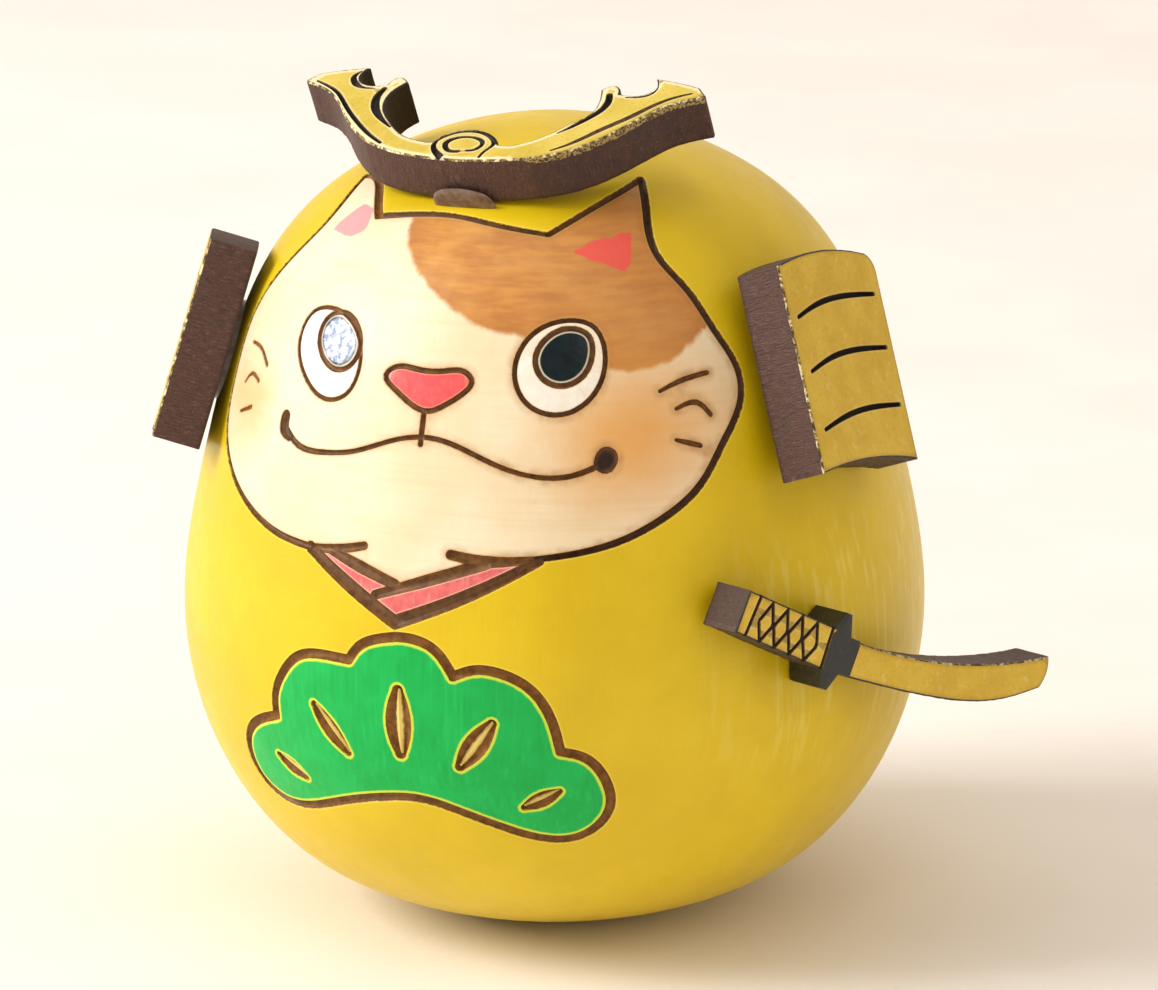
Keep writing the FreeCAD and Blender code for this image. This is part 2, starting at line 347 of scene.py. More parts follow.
# ---------------------------------------------------------------- the art on the front, as (x, z)
FACE_LEFT = [
    (-12.7, 61.4), (-14.1, 58.3), (-17.2, 54.8), (-19.9, 50.6), (-20.8, 46.0), (-20.9, 42.2),
    (-19.5, 39.5), (-16.2, 37.2), (-12.4, 36.0), (-9.0, 35.7),
]
CHIN_LEFT = [(-9.0, 35.7), (-6.4, 36.0), (-3.9, 36.6)]
FACE_RIGHT = [
    (10.5, 62.8), (12.4, 60.95), (14.7, 58.1), (17.1, 55.9), (19.6, 52.7), (21.5, 49.5),
    (21.9, 47.8), (21.4, 44.6), (20.45, 41.7), (18.4, 39.4), (15.8, 37.9), (12.5, 37.0),
    (9.8, 36.6),
]
CHIN_RIGHT = [(9.8, 36.6), (6.4, 36.35), (3.5, 36.7)]
EAR_LEFT = [(-12.7, 61.4), (-12.1, 61.55), (-8.4, 59.9)]
BROW = [(-8.4, 59.9), (-4.7, 60.5), (-1.3, 60.7), (2.1, 60.4), (6.6, 59.9)]
EAR_RIGHT = [(6.6, 59.9), (9.0, 61.6), (10.5, 62.8)]
COLLAR_OUTER_LEFT = [(-9.0, 35.7), (-0.7, 31.1)]
COLLAR_OUTER_RIGHT = [(-0.7, 31.1), (4.8, 33.5), (10.3, 36.5)]
COLLAR_INNER_LEFT = [(-7.1, 35.9), (-0.9, 34.0)]
COLLAR_INNER_RIGHT = [(-2.6, 33.0), (1.0, 34.3), (6.4, 36.2)]

EYE_LEFT = [(-10.0, 53.5), (-6.9, 52.3), (-6.1, 49.8), (-7.0, 47.7), (-8.8, 47.0),
            (-11.4, 48.2), (-12.7, 50.8), (-11.9, 52.8)]
PUPIL_LEFT = [(-8.6, 53.4), (-6.9, 52.6), (-6.35, 51.2), (-7.0, 49.8), (-8.4, 49.3),
              (-9.9, 50.0), (-10.6, 51.4), (-10.1, 52.8)]
EYE_RIGHT = [(9.5, 54.2), (11.9, 53.8), (13.2, 51.4), (12.6, 48.6), (10.7, 47.5),
             (8.3, 48.2), (6.95, 50.4), (7.5, 53.0)]
PUPIL_RIGHT = [(10.4, 53.7), (11.7, 53.2), (12.25, 51.8), (11.8, 50.2), (10.5, 49.6),
               (9.1, 50.1), (8.3, 51.5), (8.9, 53.1)]
NOSE = [(-3.55, 49.6), (-2.9, 50.2), (-1.0, 50.3), (1.4, 50.35), (3.2, 50.35), (3.75, 49.8),
        (3.1, 48.75), (1.8, 47.85), (0.4, 47.3), (-1.1, 47.75), (-2.6, 48.65)]
PHILTRUM = [(0.2, 47.3), (0.2, 44.8)]
MOUTH = [(-12.6, 43.9), (-11.6, 43.2), (-8.4, 43.05), (-5.6, 43.6), (-2.5, 44.75), (0.3, 45.35),
         (2.1, 45.2), (4.65, 44.35), (7.45, 43.3), (10.0, 42.8), (12.1, 42.95), (13.9, 43.7)]
MOUTH_END_LEFT = [(-13.0, 44.9), (-13.0, 43.9), (-12.4, 43.4)]
MOUTH_END_RIGHT = [(14.3, 44.2), (14.2, 43.9)]
WHISKERS_RIGHT = [
    [(17.1, 48.9), (18.2, 49.5), (19.7, 49.9)],
    [(18.3, 47.5), (19.5, 47.8), (20.4, 46.8)],
    [(18.6, 45.2), (20.1, 44.6)],
]
WHISKERS_LEFT = [
    [(-18.8, 49.0), (-17.3, 48.9), (-16.2, 48.0)],
    [(-18.9, 46.0), (-18.2, 46.8), (-17.0, 46.6)],
    [(-19.0, 43.75), (-17.5, 44.5)],
]
PATCH = [(-5.2, 60.6), (-4.6, 58.9), (-3.2, 57.4), (-1.3, 56.0), (1.5, 54.5), (4.3, 53.4),
         (6.9, 53.0), (10.0, 51.5), (12.8, 50.9), (14.6, 50.5), (16.8, 50.7), (18.2, 51.7),
         (18.8, 52.9)]
PATCH_BEYOND = [(20.6, 55.5), (16.0, 61.5), (8.0, 64.3), (-4.0, 63.5)]
EAR_PINK_RIGHT = [(8.4, 58.9), (12.1, 60.0), (13.3, 57.2)]
EAR_PINK_LEFT = [(-12.8, 58.3), (-10.6, 60.3), (-9.2, 60.2), (-9.0, 58.9), (-10.5, 58.2)]

PINE = [
    [(-12.2, 21.4), (-14.8, 20.1), (-16.05, 18.4), (-16.1, 16.4), (-15.3, 14.8), (-13.05, 13.5),
     (-10.4, 13.6), (-6.75, 14.9), (-2.1, 16.25), (1.2, 16.5), (4.15, 15.7), (7.7, 14.3),
     (10.5, 13.45), (12.5, 13.6), (14.1, 14.6), (15.2, 16.2), (15.3, 18.6), (13.9, 20.9),
     (12.3, 21.4)],
    [(12.3, 21.4), (11.8, 23.95), (10.3, 26.5), (8.0, 27.75), (5.8, 27.9), (4.3, 27.3)],
    [(4.3, 27.3), (2.7, 29.3), (0.4, 30.0), (-1.85, 29.7), (-3.8, 28.8), (-4.7, 27.6)],
    [(-4.7, 27.6), (-6.8, 27.6), (-9.45, 27.1), (-11.4, 25.1), (-12.2, 23.2), (-12.2, 21.4)],
]
SLOTS = [
    ([(-12.5, 17.8), (-9.8, 16.4)], 0.7),
    ([(-8.1, 23.3), (-5.1, 19.7)], 0.78),
    ([(-0.3, 25.7), (-0.3, 20.4)], 1.12),
    ([(7.3, 23.6), (4.6, 19.8)], 0.98),
    ([(11.9, 17.9), (9.2, 16.4)], 0.72),
]

# A slot's half width along its length, as shares of its widest.
SLOT_SWELL = np.array([0.45, 0.72, 0.9, 1.0, 1.0, 0.9, 0.72, 0.45])
LINE_STEP = 0.3


def body_stroke(points, half, depth, char, closed=False, kind="groove"):
    """A stroke drawn on the front of the body."""
    marks = front(points)
    path = spline(marks, closed) if len(points) > 2 else marks
    return stroke(path, half, depth, closed, kind, char, chart_scale, LINE_STEP, chart_to_space)


def body_strokes():
    """Every engraved line on the body."""
    deep, line = 0.42, 0.3
    open_lines = [
        (FACE_LEFT, [0.27, 0.27, 0.25, 0.28, 0.32], deep, 0.35),
        (CHIN_LEFT, [0.34, 0.4, 0.36], deep, 0.25),
        (FACE_RIGHT, [0.36, 0.34, 0.32, 0.32, 0.27], deep, 0.75),
        (CHIN_RIGHT, [0.3, 0.48, 0.42], deep, 0.3),
        (EAR_LEFT, 0.4, deep, 0.1),
        (BROW, [0.4, 0.3, 0.28], deep, 0.55),
        (EAR_RIGHT, [0.3, 0.34], deep, 0.5),
        (COLLAR_OUTER_LEFT, [0.5, 0.6, 0.6], 0.5, 0.4),
        (COLLAR_OUTER_RIGHT, [0.6, 0.55, 0.42], 0.5, 0.4),
        (COLLAR_INNER_LEFT, [0.4, 0.52, 0.45], deep, 0.35),
        (COLLAR_INNER_RIGHT, [0.4, 0.5, 0.5], deep, 0.35),
    ]
    closed_lines = [
        (EYE_LEFT, 0.2, line, 0.4), (PUPIL_LEFT, 0.25, line, 0.4),
        (EYE_RIGHT, 0.22, line, 0.7), (PUPIL_RIGHT, 0.25, line, 0.55), (NOSE, 0.24, line, 0.5),
    ]
    mouth = [
        (PHILTRUM, 0.25, line, 0.4),
        (MOUTH, [0.3, 0.22, 0.21, 0.23, 0.21, 0.26], line, 0.55),
        (MOUTH_END_LEFT, [0.55, 0.62, 0.3], deep, 0.6),
        (MOUTH_END_RIGHT, 0.92, deep, 0.95),
    ]
    fine = [(w, [0.16, 0.24, 0.22], 0.25, 0.55) for w in WHISKERS_RIGHT]
    fine += [(w, [0.14, 0.18, 0.2], 0.2, 0.2) for w in WHISKERS_LEFT]
    fine += [(part, 0.42, 0.48, 0.15) for part in PINE]
    s = [body_stroke(*row) for row in open_lines]
    s += [body_stroke(*row, closed=True) for row in closed_lines]
    s += [body_stroke(*row) for row in mouth + fine]
    s += [body_stroke(ends, w * SLOT_SWELL, 0.5, 0.15, kind="slot") for ends, w in SLOTS]
    return s


def outline(*parts, closed=False):
    """A closed area in the chart from parts drawn on the front."""
    curves = [spline(front(p), closed) if len(p) > 2 else front(p) for p in parts]
    return np.vstack(curves)


def body_regions():
    """Painted areas from the ground up: (slot number, polygon)."""
    face = outline(
        FACE_LEFT, COLLAR_INNER_LEFT, COLLAR_INNER_RIGHT[1:], FACE_RIGHT[::-1], EAR_RIGHT[::-1],
        BROW[::-1], EAR_LEFT[::-1],
    )
    collar = outline(
        COLLAR_OUTER_LEFT, COLLAR_OUTER_RIGHT, COLLAR_INNER_RIGHT[:0:-1], COLLAR_INNER_LEFT[::-1]
    )
    areas = [(1, collar), (2, face)]
    areas += [(3, outline(e, closed=True)) for e in (EYE_LEFT, EYE_RIGHT)]
    areas += [(4, outline(e, closed=True)) for e in (PUPIL_LEFT, PUPIL_RIGHT)]
    areas.append((5, outline(NOSE, closed=True)))
    areas.append((6, outline(*PINE)))
    return areas


# The body's mesh: spacing of its free points, and how near a stroke they may come.
GRID = 0.7
NO_GO = 0.32
FRONT_HALF = 40
PATCH_REACH = 9.0
LIP_REACH = 3.0
FACET_GAP = 0.4
FACET_POINTS = 60
FACET_REACH = 9.0
FACET_HALVINGS = 30
POCK = 0.012


def body_rows():
    """Ring positions down the body, with a ring on every corner of the section."""
    corners = [0.0]
    for r, z in ((FOOT_RADIUS, 0.0), (BORE_RADIUS, 0.0), (BORE_RADIUS, BORE_END)):
        corners.append(DOWN[np.argmin(np.hypot(RADIUS - r, HEIGHT - z))])
    corners.append(DOWN[-1])
    rows = []
    for a, b in zip(corners, corners[1:]):
        step = GRID if a == 0.0 else 2 * GRID
        rows += list(np.linspace(a, b, max(2, int((b - a) / step)), endpoint=False))
    return rows + [DOWN[-1]]


def facet_ring(contact, outward, across, upward):
    """The rim of the flat under the sword, in the chart."""
    ring = []
    for angle in np.linspace(0, 2 * math.pi, FACET_POINTS, endpoint=False):
        low, high = 0.0, FACET_REACH
        for _ in range(FACET_HALVINGS):
            reach = (low + high) / 2
            p = (contact - outward * SWORD_FLAT_DEPTH
                 + (across * math.cos(angle) + upward * math.sin(angle)) * reach)
            if math.hypot(p[0], p[1]) < side_at(p[2])[0]:
                low = reach
            else:
                high = reach
        ring.append((math.atan2(p[0], -p[1]) * BELLY_RADIUS, side_at(p[2])[1]))
    return np.array(ring)


def seat_axes(seat):
    """The point of contact and the outward, across and upward directions of a plate's seat."""
    a, e = math.radians(seat["azimuth"]), math.radians(seat["elevation"])
    outward = np.array([math.sin(a) * math.cos(e), -math.cos(a) * math.cos(e), math.sin(e)])
    across = np.array([math.cos(a), math.sin(a), 0.0])
    upward = np.cross(outward, across)
    i = np.argmax(RADIUS[:SIDE_COUNT] * math.cos(e) + HEIGHT[:SIDE_COUNT] * math.sin(e))
    contact = np.array([math.sin(a) * RADIUS[i], -math.cos(a) * RADIUS[i], HEIGHT[i]])
    return contact, outward, across, upward


def seat_matrix(seat, lift):
    """Carries a plate drawn in XY, outer face towards +Z, to its seat."""
    contact, outward, across, upward = seat_axes(seat)
    t = math.radians(seat["turn"])
    x = across * math.cos(t) + upward * math.sin(t)
    y = upward * math.cos(t) - across * math.sin(t)
    origin = contact + outward * lift + across * seat["shift"][0] + upward * seat["shift"][1]
    return np.stack([x, y, outward], -1), origin


def thin_out(points, space, strokes):
    """Drops free points that crowd a stroke."""
    keep = np.ones(len(points), bool)
    for s in strokes:
        near, d, half = around(s, space, s["half"].max() * SECTION[-1] + NO_GO)
        keep[near] &= d > half * SECTION[-1] + NO_GO
    return points[keep]


def depth_inside(flat, rim, polygon, reach):
    """Distance of chart points to a rim in space, up to a reach, and less than 0 in a polygon."""
    near = np.abs(flat[:, 0]) < FRONT_HALF
    away = np.full(len(flat), reach)
    d, _ = segment_distance(chart_to_space(flat[near]), rim[:-1], rim[1:])
    away[near] = np.minimum(d, reach)
    away[inside(flat, polygon)] *= -1
    return away


def guides(strokes, multiples):
    """The loops and open lines that a triangulation follows along strokes."""
    loops, lines = [], []
    for s in strokes:
        (loops if s["closed"] else lines).append(s["path"][:-1] if s["closed"] else s["path"])
        for multiple in multiples:
            loops += contours(s, multiple)
    return loops, lines


def build_body(materials):
    """The lacquered body as one mesh, engraved and split into its painted areas."""
    strokes = body_strokes()
    edge_x = math.pi * BELLY_RADIUS
    rows = body_rows()
    flows = np.interp(rows, DOWN, FLOW)
    grid, seam = [], []
    for i, (s, q) in enumerate(zip(rows, flows)):
        r = np.interp(s, DOWN, RADIUS)
        spacing = GRID if q < FLOW[SIDE_COUNT - 1] else 2 * GRID
        n = max(8, int(round(2 * math.pi * r / spacing)))
        x = (np.arange(n) + 0.5 * (i % 2)) / n * 2 * edge_x - edge_x
        x = x[x > -edge_x + edge_x / n]
        x = x[x < edge_x - edge_x / n * 0.9]
        grid.append(np.stack([x, np.full(len(x), q)], -1))
        seam.append(q)
    grid = np.vstack(grid)
    grid = thin_out(grid, chart_to_space(grid), strokes)
    contact, outward, across, upward = seat_axes(SWORD_SEAT)
    ring = facet_ring(contact, outward, across, upward)
    gap = np.linalg.norm(grid[:, None] - ring[None, ::3], axis=-1).min(1)
    grid = grid[gap > FACET_GAP]
    seam = np.array(seam)
    sides = np.vstack([np.stack([np.full(len(seam), x), seam], -1) for x in (-edge_x, edge_x)])
    loops, lines = guides(strokes, SECTION)
    flat, faces = triangulate(np.vstack([sides, grid]), [ring, *loops], lines)

    # Join the seam at the back, and close both poles with a fan.
    target = np.arange(len(flat))
    count = len(seam)
    target[count:2 * count] = np.arange(count)
    middle = flat[faces].mean(1)
    faces = target[faces]
    space = chart_to_space(flat)
    normals = chart_normals(flat)
    depth, edge, ridge, char = carve(space, strokes)
    pit = POCK * np.array([noise.noise(Vector(p) * 0.9) for p in space])
    shallow = (flat[:, 1] < FLOW[SIDE_COUNT - 1]).astype(float)
    space = space - normals * ((depth + pit * (depth == 0)) * shallow)[:, None]
    proud = (space - contact) @ outward + SWORD_FLAT_DEPTH
    space = space - np.maximum(proud, 0)[:, None] * outward

    region = np.zeros(len(faces), int)
    for number, polygon in body_regions():
        region[inside(middle, polygon)] = number

    rim = chart_to_space(spline(front(PATCH)))[::4]
    away = depth_inside(flat, rim, outline(PATCH, PATCH_BEYOND), PATCH_REACH)
    pinks = np.full(len(flat), LIP_REACH)
    for ear in (EAR_PINK_RIGHT, EAR_PINK_LEFT):
        marks = front(ear + ear[:1])
        pinks = np.minimum(
            pinks, depth_inside(flat, chart_to_space(marks), marks[:-1], LIP_REACH))

    top, bottom = len(space), len(space) + 1
    space = np.vstack([space, [(0, 0, BODY_HEIGHT), (0, 0, BORE_END)]])
    fans = []
    for row, pole, flip in ((flows[0], top, True), (flows[-1], bottom, False)):
        rim_ids = [i for i in range(len(flat)) if abs(flat[i, 1] - row) < 1e-4 and target[i] == i]
        rim_ids.sort(key=lambda i: flat[i, 0])
        for a, b in zip(rim_ids, rim_ids[1:] + rim_ids[:1]):
            fans.append((b, a, pole) if flip else (a, b, pole))
    faces = np.vstack([faces, np.array(fans)])
    region = np.concatenate([region, np.zeros(len(fans), int)])
    used, packed = np.unique(faces, return_inverse=True)
    faces = packed.reshape(faces.shape)

    def spread(values, fill):
        return np.concatenate([values, [fill, fill]])[used]

    values = {
        "lip": spread(edge, LIP_REACH), "ridge": spread(ridge, 0.0),
        "deep": spread(depth, 0.0), "char": spread(char, 1.0),
        "patch": spread(away, PATCH_REACH), "pink": spread(pinks, LIP_REACH),
    }
    return mesh_object("lacquered_body", space[used], faces[:, ::-1], materials, region, values)


# ---------------------------------------------------------------- materials
def rgb(r, g, b):
    """A linear colour with alpha from the usual 0 to 255 display values."""
    def linear(v):
        v /= 255
        return v / 12.92 if v <= 0.04045 else ((v + 0.055) / 1.055) ** 2.4
    return (linear(r), linear(g), linear(b), 1.0)


class Graph:
    """Builds one material's nodes. Lengths inside are millimetres."""

    def __init__(self, name, roughness=0.5, **sockets):
        self.material = bpy.data.materials.new(name)
        self.material.use_nodes = True
        self.tree = self.material.node_tree
        self.bsdf = self.tree.nodes["Principled BSDF"]
        self.bsdf.inputs["Roughness"].default_value = roughness
        for key, value in sockets.items():
            self.bsdf.inputs[key.replace("_", " ")].default_value = value
        place = self.node("ShaderNodeTexCoord").outputs["Object"]
        self.place = self.stretch(place, (1 / MM, 1 / MM, 1 / MM))

    def node(self, kind, inputs=None, **settings):
        """A new node, with its inputs linked or set."""
        made = self.tree.nodes.new(kind)
        for key, value in settings.items():
            setattr(made, key, value)
        for key, value in (inputs or {}).items():
            socket = made.inputs[key]
            if isinstance(value, bpy.types.NodeSocket):
                self.tree.links.new(value, socket)
            else:
                socket.default_value = value
        return made

    def stretch(self, vector, factors):
        """The vector with each of its axes scaled."""
        n = self.node("ShaderNodeVectorMath", {0: vector, 1: factors}, operation="MULTIPLY")
        return n.outputs[0]

    def math(self, operation, a, b=0.0, c=0.0):
        """The result of one of Blender's maths operations."""
        return self.node("ShaderNodeMath", {0: a, 1: b, 2: c}, operation=operation).outputs[0]

    def times(self, a, b):
        return self.math("MULTIPLY", a, b)

    def add(self, a, b):
        return self.math("ADD", a, b)

    def axes(self):
        """The place's x, y and z."""
        return self.node("ShaderNodeSeparateXYZ", {0: self.place}).outputs

    def tint(self, colour, factor, strength, other):
        """A colour taken part of the way to another."""
        return self.mix(self.times(factor, strength), colour, other)

    def shaken(self, value, size, amount):
        """A value that wanders by up to half of `amount` either way."""
        return self.math("ADD", value, self.math("MULTIPLY_ADD", self.noise(size, 4.0),
                                                 amount, -amount / 2))

    def value(self, name):
        """A value carried by the mesh."""
        return self.node("ShaderNodeAttribute", attribute_name=name).outputs["Fac"]

    def band(self, value, low, high):
        """0 below low, 1 above high, smooth between. Low may be the larger one."""
        falls = float(low > high)
        span = {"From Min": min(low, high), "From Max": max(low, high)}
        n = self.node("ShaderNodeMapRange",
                      {"Value": value, **span, "To Min": falls, "To Max": 1.0 - falls},
                      interpolation_type="SMOOTHSTEP")
        return n.outputs["Result"]

    def noise(self, size, detail=3.0, stretch=(1, 1, 1), vector=None):
        """Cloudy noise with features of about `size` millimetres."""
        factors = tuple(k / size for k in stretch)
        where = self.stretch(vector or self.place, factors)
        n = self.node(
            "ShaderNodeTexNoise",
            {"Vector": where, "Scale": 1.0, "Detail": detail, "Roughness": 0.55},
        )
        return n.outputs["Fac"]

    def mix(self, factor, a, b):
        """A colour between a and b."""
        return self.node("ShaderNodeMix", {0: factor, 6: a, 7: b}, data_type="RGBA").outputs[2]

    def blend(self, factor, a, b):
        """A number between a and b."""
        return self.node("ShaderNodeMix", {0: factor, 2: a, 3: b}, data_type="FLOAT").outputs[0]

    def finish(self, colour, roughness=None, height=None, depth=0.05):
        """Connects colour, roughness and a bump whose full height is `depth` millimetres."""
        self.tree.links.new(colour, self.bsdf.inputs["Base Color"])
        if roughness is not None:
            self.tree.links.new(roughness, self.bsdf.inputs["Roughness"])
        if height is not None:
            bump = self.node(
                "ShaderNodeBump", {"Height": height, "Strength": 1.0, "Distance": depth * MM}
            )
            self.tree.links.new(bump.outputs["Normal"], self.bsdf.inputs["Normal"])
        return self.material


def turned_relief(g, strength=1.0):
    """Fine rings left by turning, and the open grain that the finish sinks into."""
    rings = g.noise(0.35, 2.0, (0.02, 0.02, 1.0))
    grain = g.noise(0.45, 3.0, (1.0, 1.0, 0.05))
    skin = g.noise(0.5, 4.0)
    both = g.add(g.times(rings, 0.35 * strength), g.times(grain, 0.45 * strength))
    return g.add(both, g.times(skin, 0.3 * strength))


def scorched(g, paint, rough, halo, tint=0.5, reach=0.16):
    """Adds the laser's burn to a painted surface: brown walls, a darker floor, tinted lips, and a
    darker band just inside the lips that is soot and painted shade.
    """
    lip = g.shaken(g.value("lip"), 0.3, 0.1)
    paint = g.mix(g.times(g.band(lip, reach, 0.02), tint), paint, halo)
    patches = g.band(g.noise(0.6, 4.0), 0.35, 0.7)
    pale = g.mix(patches, rgb(158, 108, 46), rgb(122, 78, 30))
    dark = g.mix(patches, rgb(96, 56, 26), rgb(58, 32, 16))
    burn = g.mix(g.value("char"), pale, dark)
    floor = g.times(g.band(g.value("deep"), 0.2, 0.36), g.value("char"))
    burn = g.tint(burn, floor, 0.85, rgb(26, 15, 10))
    # A darker band on the groove walls just inside each lip: laser soot and painted shade.
    soot = g.band(g.math("ABSOLUTE", g.add(lip, 0.05)), 0.05, 0.0)
    burn = g.tint(burn, soot, 0.35, rgb(60, 34, 14))
    inside = g.band(lip, 0.01, -0.04)
    colour = g.mix(inside, paint, burn)
    return colour, g.blend(inside, rough, 0.62), inside


def yellow_lacquer():
    """Clouded satin lacquer, worn to pale open grain on the doll's left side."""
    g = Graph("yellow_lacquer", Coat_Weight=0.14, Coat_Roughness=0.3, Specular_IOR_Level=0.3)
    cloud = g.noise(9.0, 4.0)
    streak = g.noise(0.5, 4.0, (1.0, 1.0, 0.04))
    paint = g.mix(g.band(cloud, 0.3, 0.72), rgb(216, 184, 8), rgb(226, 195, 16))
    thin = g.band(streak, 0.62, 0.8)
    paint = g.tint(paint, thin, 0.16, rgb(244, 222, 96))
    x, _, z = g.axes()
    low = g.times(g.band(z, 40.0, 32.0), g.band(z, 14.0, 24.0))
    worn = g.times(g.band(x, 19.0, 27.0), low)
    grain = g.band(g.noise(0.7, 5.0, (1.0, 1.0, 0.05)), 0.5, 0.66)
    paint = g.tint(paint, g.times(grain, worn), 0.3, rgb(246, 230, 130))
    speck = g.band(g.noise(0.35, 2.0), 0.7, 0.8)
    paint = g.tint(paint, speck, 0.10, rgb(190, 150, 20))
    rough = g.blend(g.band(g.noise(1.4, 4.0), 0.3, 0.7), 0.34, 0.46)
    colour, rough, inside = scorched(g, paint, rough, rgb(246, 226, 90))
    relief = g.add(turned_relief(g), g.times(inside, g.noise(0.2, 2.0)))
    return g.finish(colour, rough, relief, 0.05)


def face_wood():
    """Bare wood of the face, with the calico patch, the blush and the ears' pink washed on."""
    g = Graph("face_wood", Coat_Weight=0.1, Coat_Roughness=0.25, Specular_IOR_Level=0.3)
    rings = g.noise(0.5, 4.0, (0.03, 0.03, 1.0))
    cloud = g.noise(6.0, 4.0)
    wood = g.mix(g.band(cloud, 0.3, 0.7), rgb(238, 218, 180), rgb(244, 229, 198))
    wood = g.tint(wood, g.band(rings, 0.45, 0.75), 0.35, rgb(228, 203, 156))

    # The calico patch: a wash with brush streaks, deeper along its rim and to the doll's left.
    patch = g.shaken(g.value("patch"), 1.1, 0.7)
    inside = g.band(patch, 0.2, -0.35)
    brush = g.noise(1.0, 6.0, (0.3, 0.3, 1.8))
    wash = g.mix(g.band(brush, 0.3, 0.72), rgb(212, 144, 50), rgb(180, 108, 28))
    fibres = g.noise(0.35, 4.0, (0.12, 0.12, 1.0))
    wash = g.tint(wash, g.band(fibres, 0.5, 0.72), 0.3, rgb(170, 98, 26))
    pale = g.band(g.noise(5.0, 3.0), 0.45, 0.75)
    wash = g.tint(wash, pale, 0.4, rgb(228, 174, 92))
    rim = g.band(patch, -1.6, -0.2)
    wash = g.tint(wash, rim, 0.35, rgb(172, 96, 24))
    x, _, z = g.axes()
    wash = g.tint(wash, g.band(x, -4.0, 16.0), 0.5, rgb(184, 110, 26))
    colour = g.tint(wood, inside, 0.92, wash)

    # A soft orange blush on both cheeks.
    for cx, cz, size, strength in ((15.8, 45.6, 10.2, 0.85), (-17.8, 45.0, 6.5, 0.55)):
        dx = g.math("SUBTRACT", x, cx)
        dz = g.math("SUBTRACT", z, cz)
        far = g.math("SQRT", g.add(g.times(dx, dx), g.times(dz, dz)))
        far = g.add(far, g.times(g.noise(2.0, 3.0), 2.0))
        puff = g.times(g.band(far, size, 1.0), strength)
        colour = g.mix(puff, colour, rgb(230, 162, 66))

    pink = g.add(g.value("pink"), g.times(g.noise(0.6, 3.0), 0.25))
    tone = g.mix(g.band(x, -4.0, 4.0), rgb(246, 152, 160), rgb(232, 84, 76))
    colour = g.tint(colour, g.band(pink, 0.2, 0.05), 0.92, tone)

    rough = g.blend(g.band(g.noise(1.2, 4.0), 0.3, 0.7), 0.36, 0.48)
    stain = g.times(g.band(g.value("lip"), 0.75, 0.0), g.band(x, -14.0, 12.0))
    stain = g.times(stain, g.band(g.noise(1.5, 4.0), 0.25, 0.7))
    colour = g.tint(colour, stain, 0.6, rgb(168, 118, 58))
    colour, rough, burnt = scorched(g, colour, rough, rgb(206, 156, 90))
    relief = g.add(turned_relief(g), g.times(burnt, g.noise(0.2, 2.0)))
    return g.finish(colour, rough, relief, 0.045)


def flat_paint(name, light, dark, halo, rough_low, rough_high):
    """A brushed-on colour over the wood."""
    g = Graph(name, Coat_Weight=0.1, Coat_Roughness=0.2)
    brush = g.noise(0.5, 4.0, (1.0, 1.0, 0.08))
    paint = g.mix(g.band(g.noise(0.8, 4.0), 0.3, 0.7), light, dark)
    paint = g.tint(paint, g.band(brush, 0.55, 0.75), 0.25, halo)
    rough = g.blend(g.band(g.noise(0.9, 3.0), 0.3, 0.7), rough_low, rough_high)
    colour, rough, _ = scorched(g, paint, rough, halo, 0.8, 0.12)
    return g.finish(colour, rough, turned_relief(g, 0.6), 0.03)


def pupil_gloss():
    """A dark glossy dot; the one on the doll's right has the window's reflection painted on it in
    broken pale flecks.
    """
    g = Graph("pupil_gloss", Specular_IOR_Level=0.3)
    dark = g.mix(g.band(g.noise(0.8, 3.0), 0.3, 0.7), rgb(5, 30, 36), rgb(2, 16, 22))
    x, _, z = g.axes()
    lip = g.value("lip")
    # Painted reflection of the window: pale blue-white flecks on the pupil on the doll's right.
    flecks = g.mix(g.band(g.noise(0.45, 5.0), 0.4, 0.62), rgb(222, 231, 250), rgb(96, 120, 170))
    painted_reflection_mask = g.times(g.band(x, -6.0, -7.0), g.band(g.shaken(lip, 0.5, 0.5), 0.1, 0.35))
    slant = g.shaken(g.math("SUBTRACT", x, z), 0.6, 0.6)
    painted_reflection_mask = g.times(painted_reflection_mask, g.band(slant, -57.2, -58.2))
    colour = g.tint(dark, painted_reflection_mask, 0.9, flecks)
    colour = g.mix(g.band(lip, 0.16, 0.08), colour, rgb(182, 176, 160))
    rough = g.blend(g.noise(0.6, 3.0), 0.08, 0.2)
    colour, rough, _ = scorched(g, colour, rough, rgb(206, 200, 184), 0.8, 0.12)
    return g.finish(colour, rough, g.noise(0.45, 3.0), 0.02)


def pine_green():
    """Brushed green with a yellow-green lip, and a painted highlight, pale gold, along the slots'
    ridges.
    """
    g = Graph("pine_green", Coat_Weight=0.05, Coat_Roughness=0.25, Specular_IOR_Level=0.25)
    streak = g.noise(0.4, 4.0, (1.0, 1.0, 0.06))
    cloud = g.noise(3.0, 4.0)
    paint = g.mix(g.band(cloud, 0.3, 0.7), rgb(4, 172, 74), rgb(10, 184, 84))
    paint = g.tint(paint, g.band(streak, 0.52, 0.72), 0.4, rgb(34, 200, 96))
    paint = g.tint(paint, g.band(streak, 0.46, 0.3), 0.3, rgb(2, 146, 62))
    lip = g.add(g.value("lip"), g.times(g.noise(0.5, 3.0), 0.14))
    paint = g.mix(g.band(lip, 0.34, 0.22), paint, rgb(196, 222, 66))
    rough = g.blend(g.band(g.noise(1.0, 4.0), 0.3, 0.7), 0.32, 0.45)
    colour, rough, _ = scorched(g, paint, rough, rgb(226, 222, 80))
    # Painted highlight: a pale gold stripe along the middle ridge of each slot.
    ridge = g.add(g.value("ridge"), g.times(g.noise(0.5, 3.0), 0.5))
    colour = g.mix(g.band(ridge, 0.55, 0.95), colour, rgb(238, 214, 120))
    return g.finish(colour, rough, turned_relief(g), 0.05)


# ---------------------------------------------------------------- stage, camera and light
CAMERA_PLACE = (0.1877, -0.4379, 0.1655)
CAMERA_TARGET = (0.001852, 0.000785, 0.03384)
BELLY_HEIGHT = 0.03


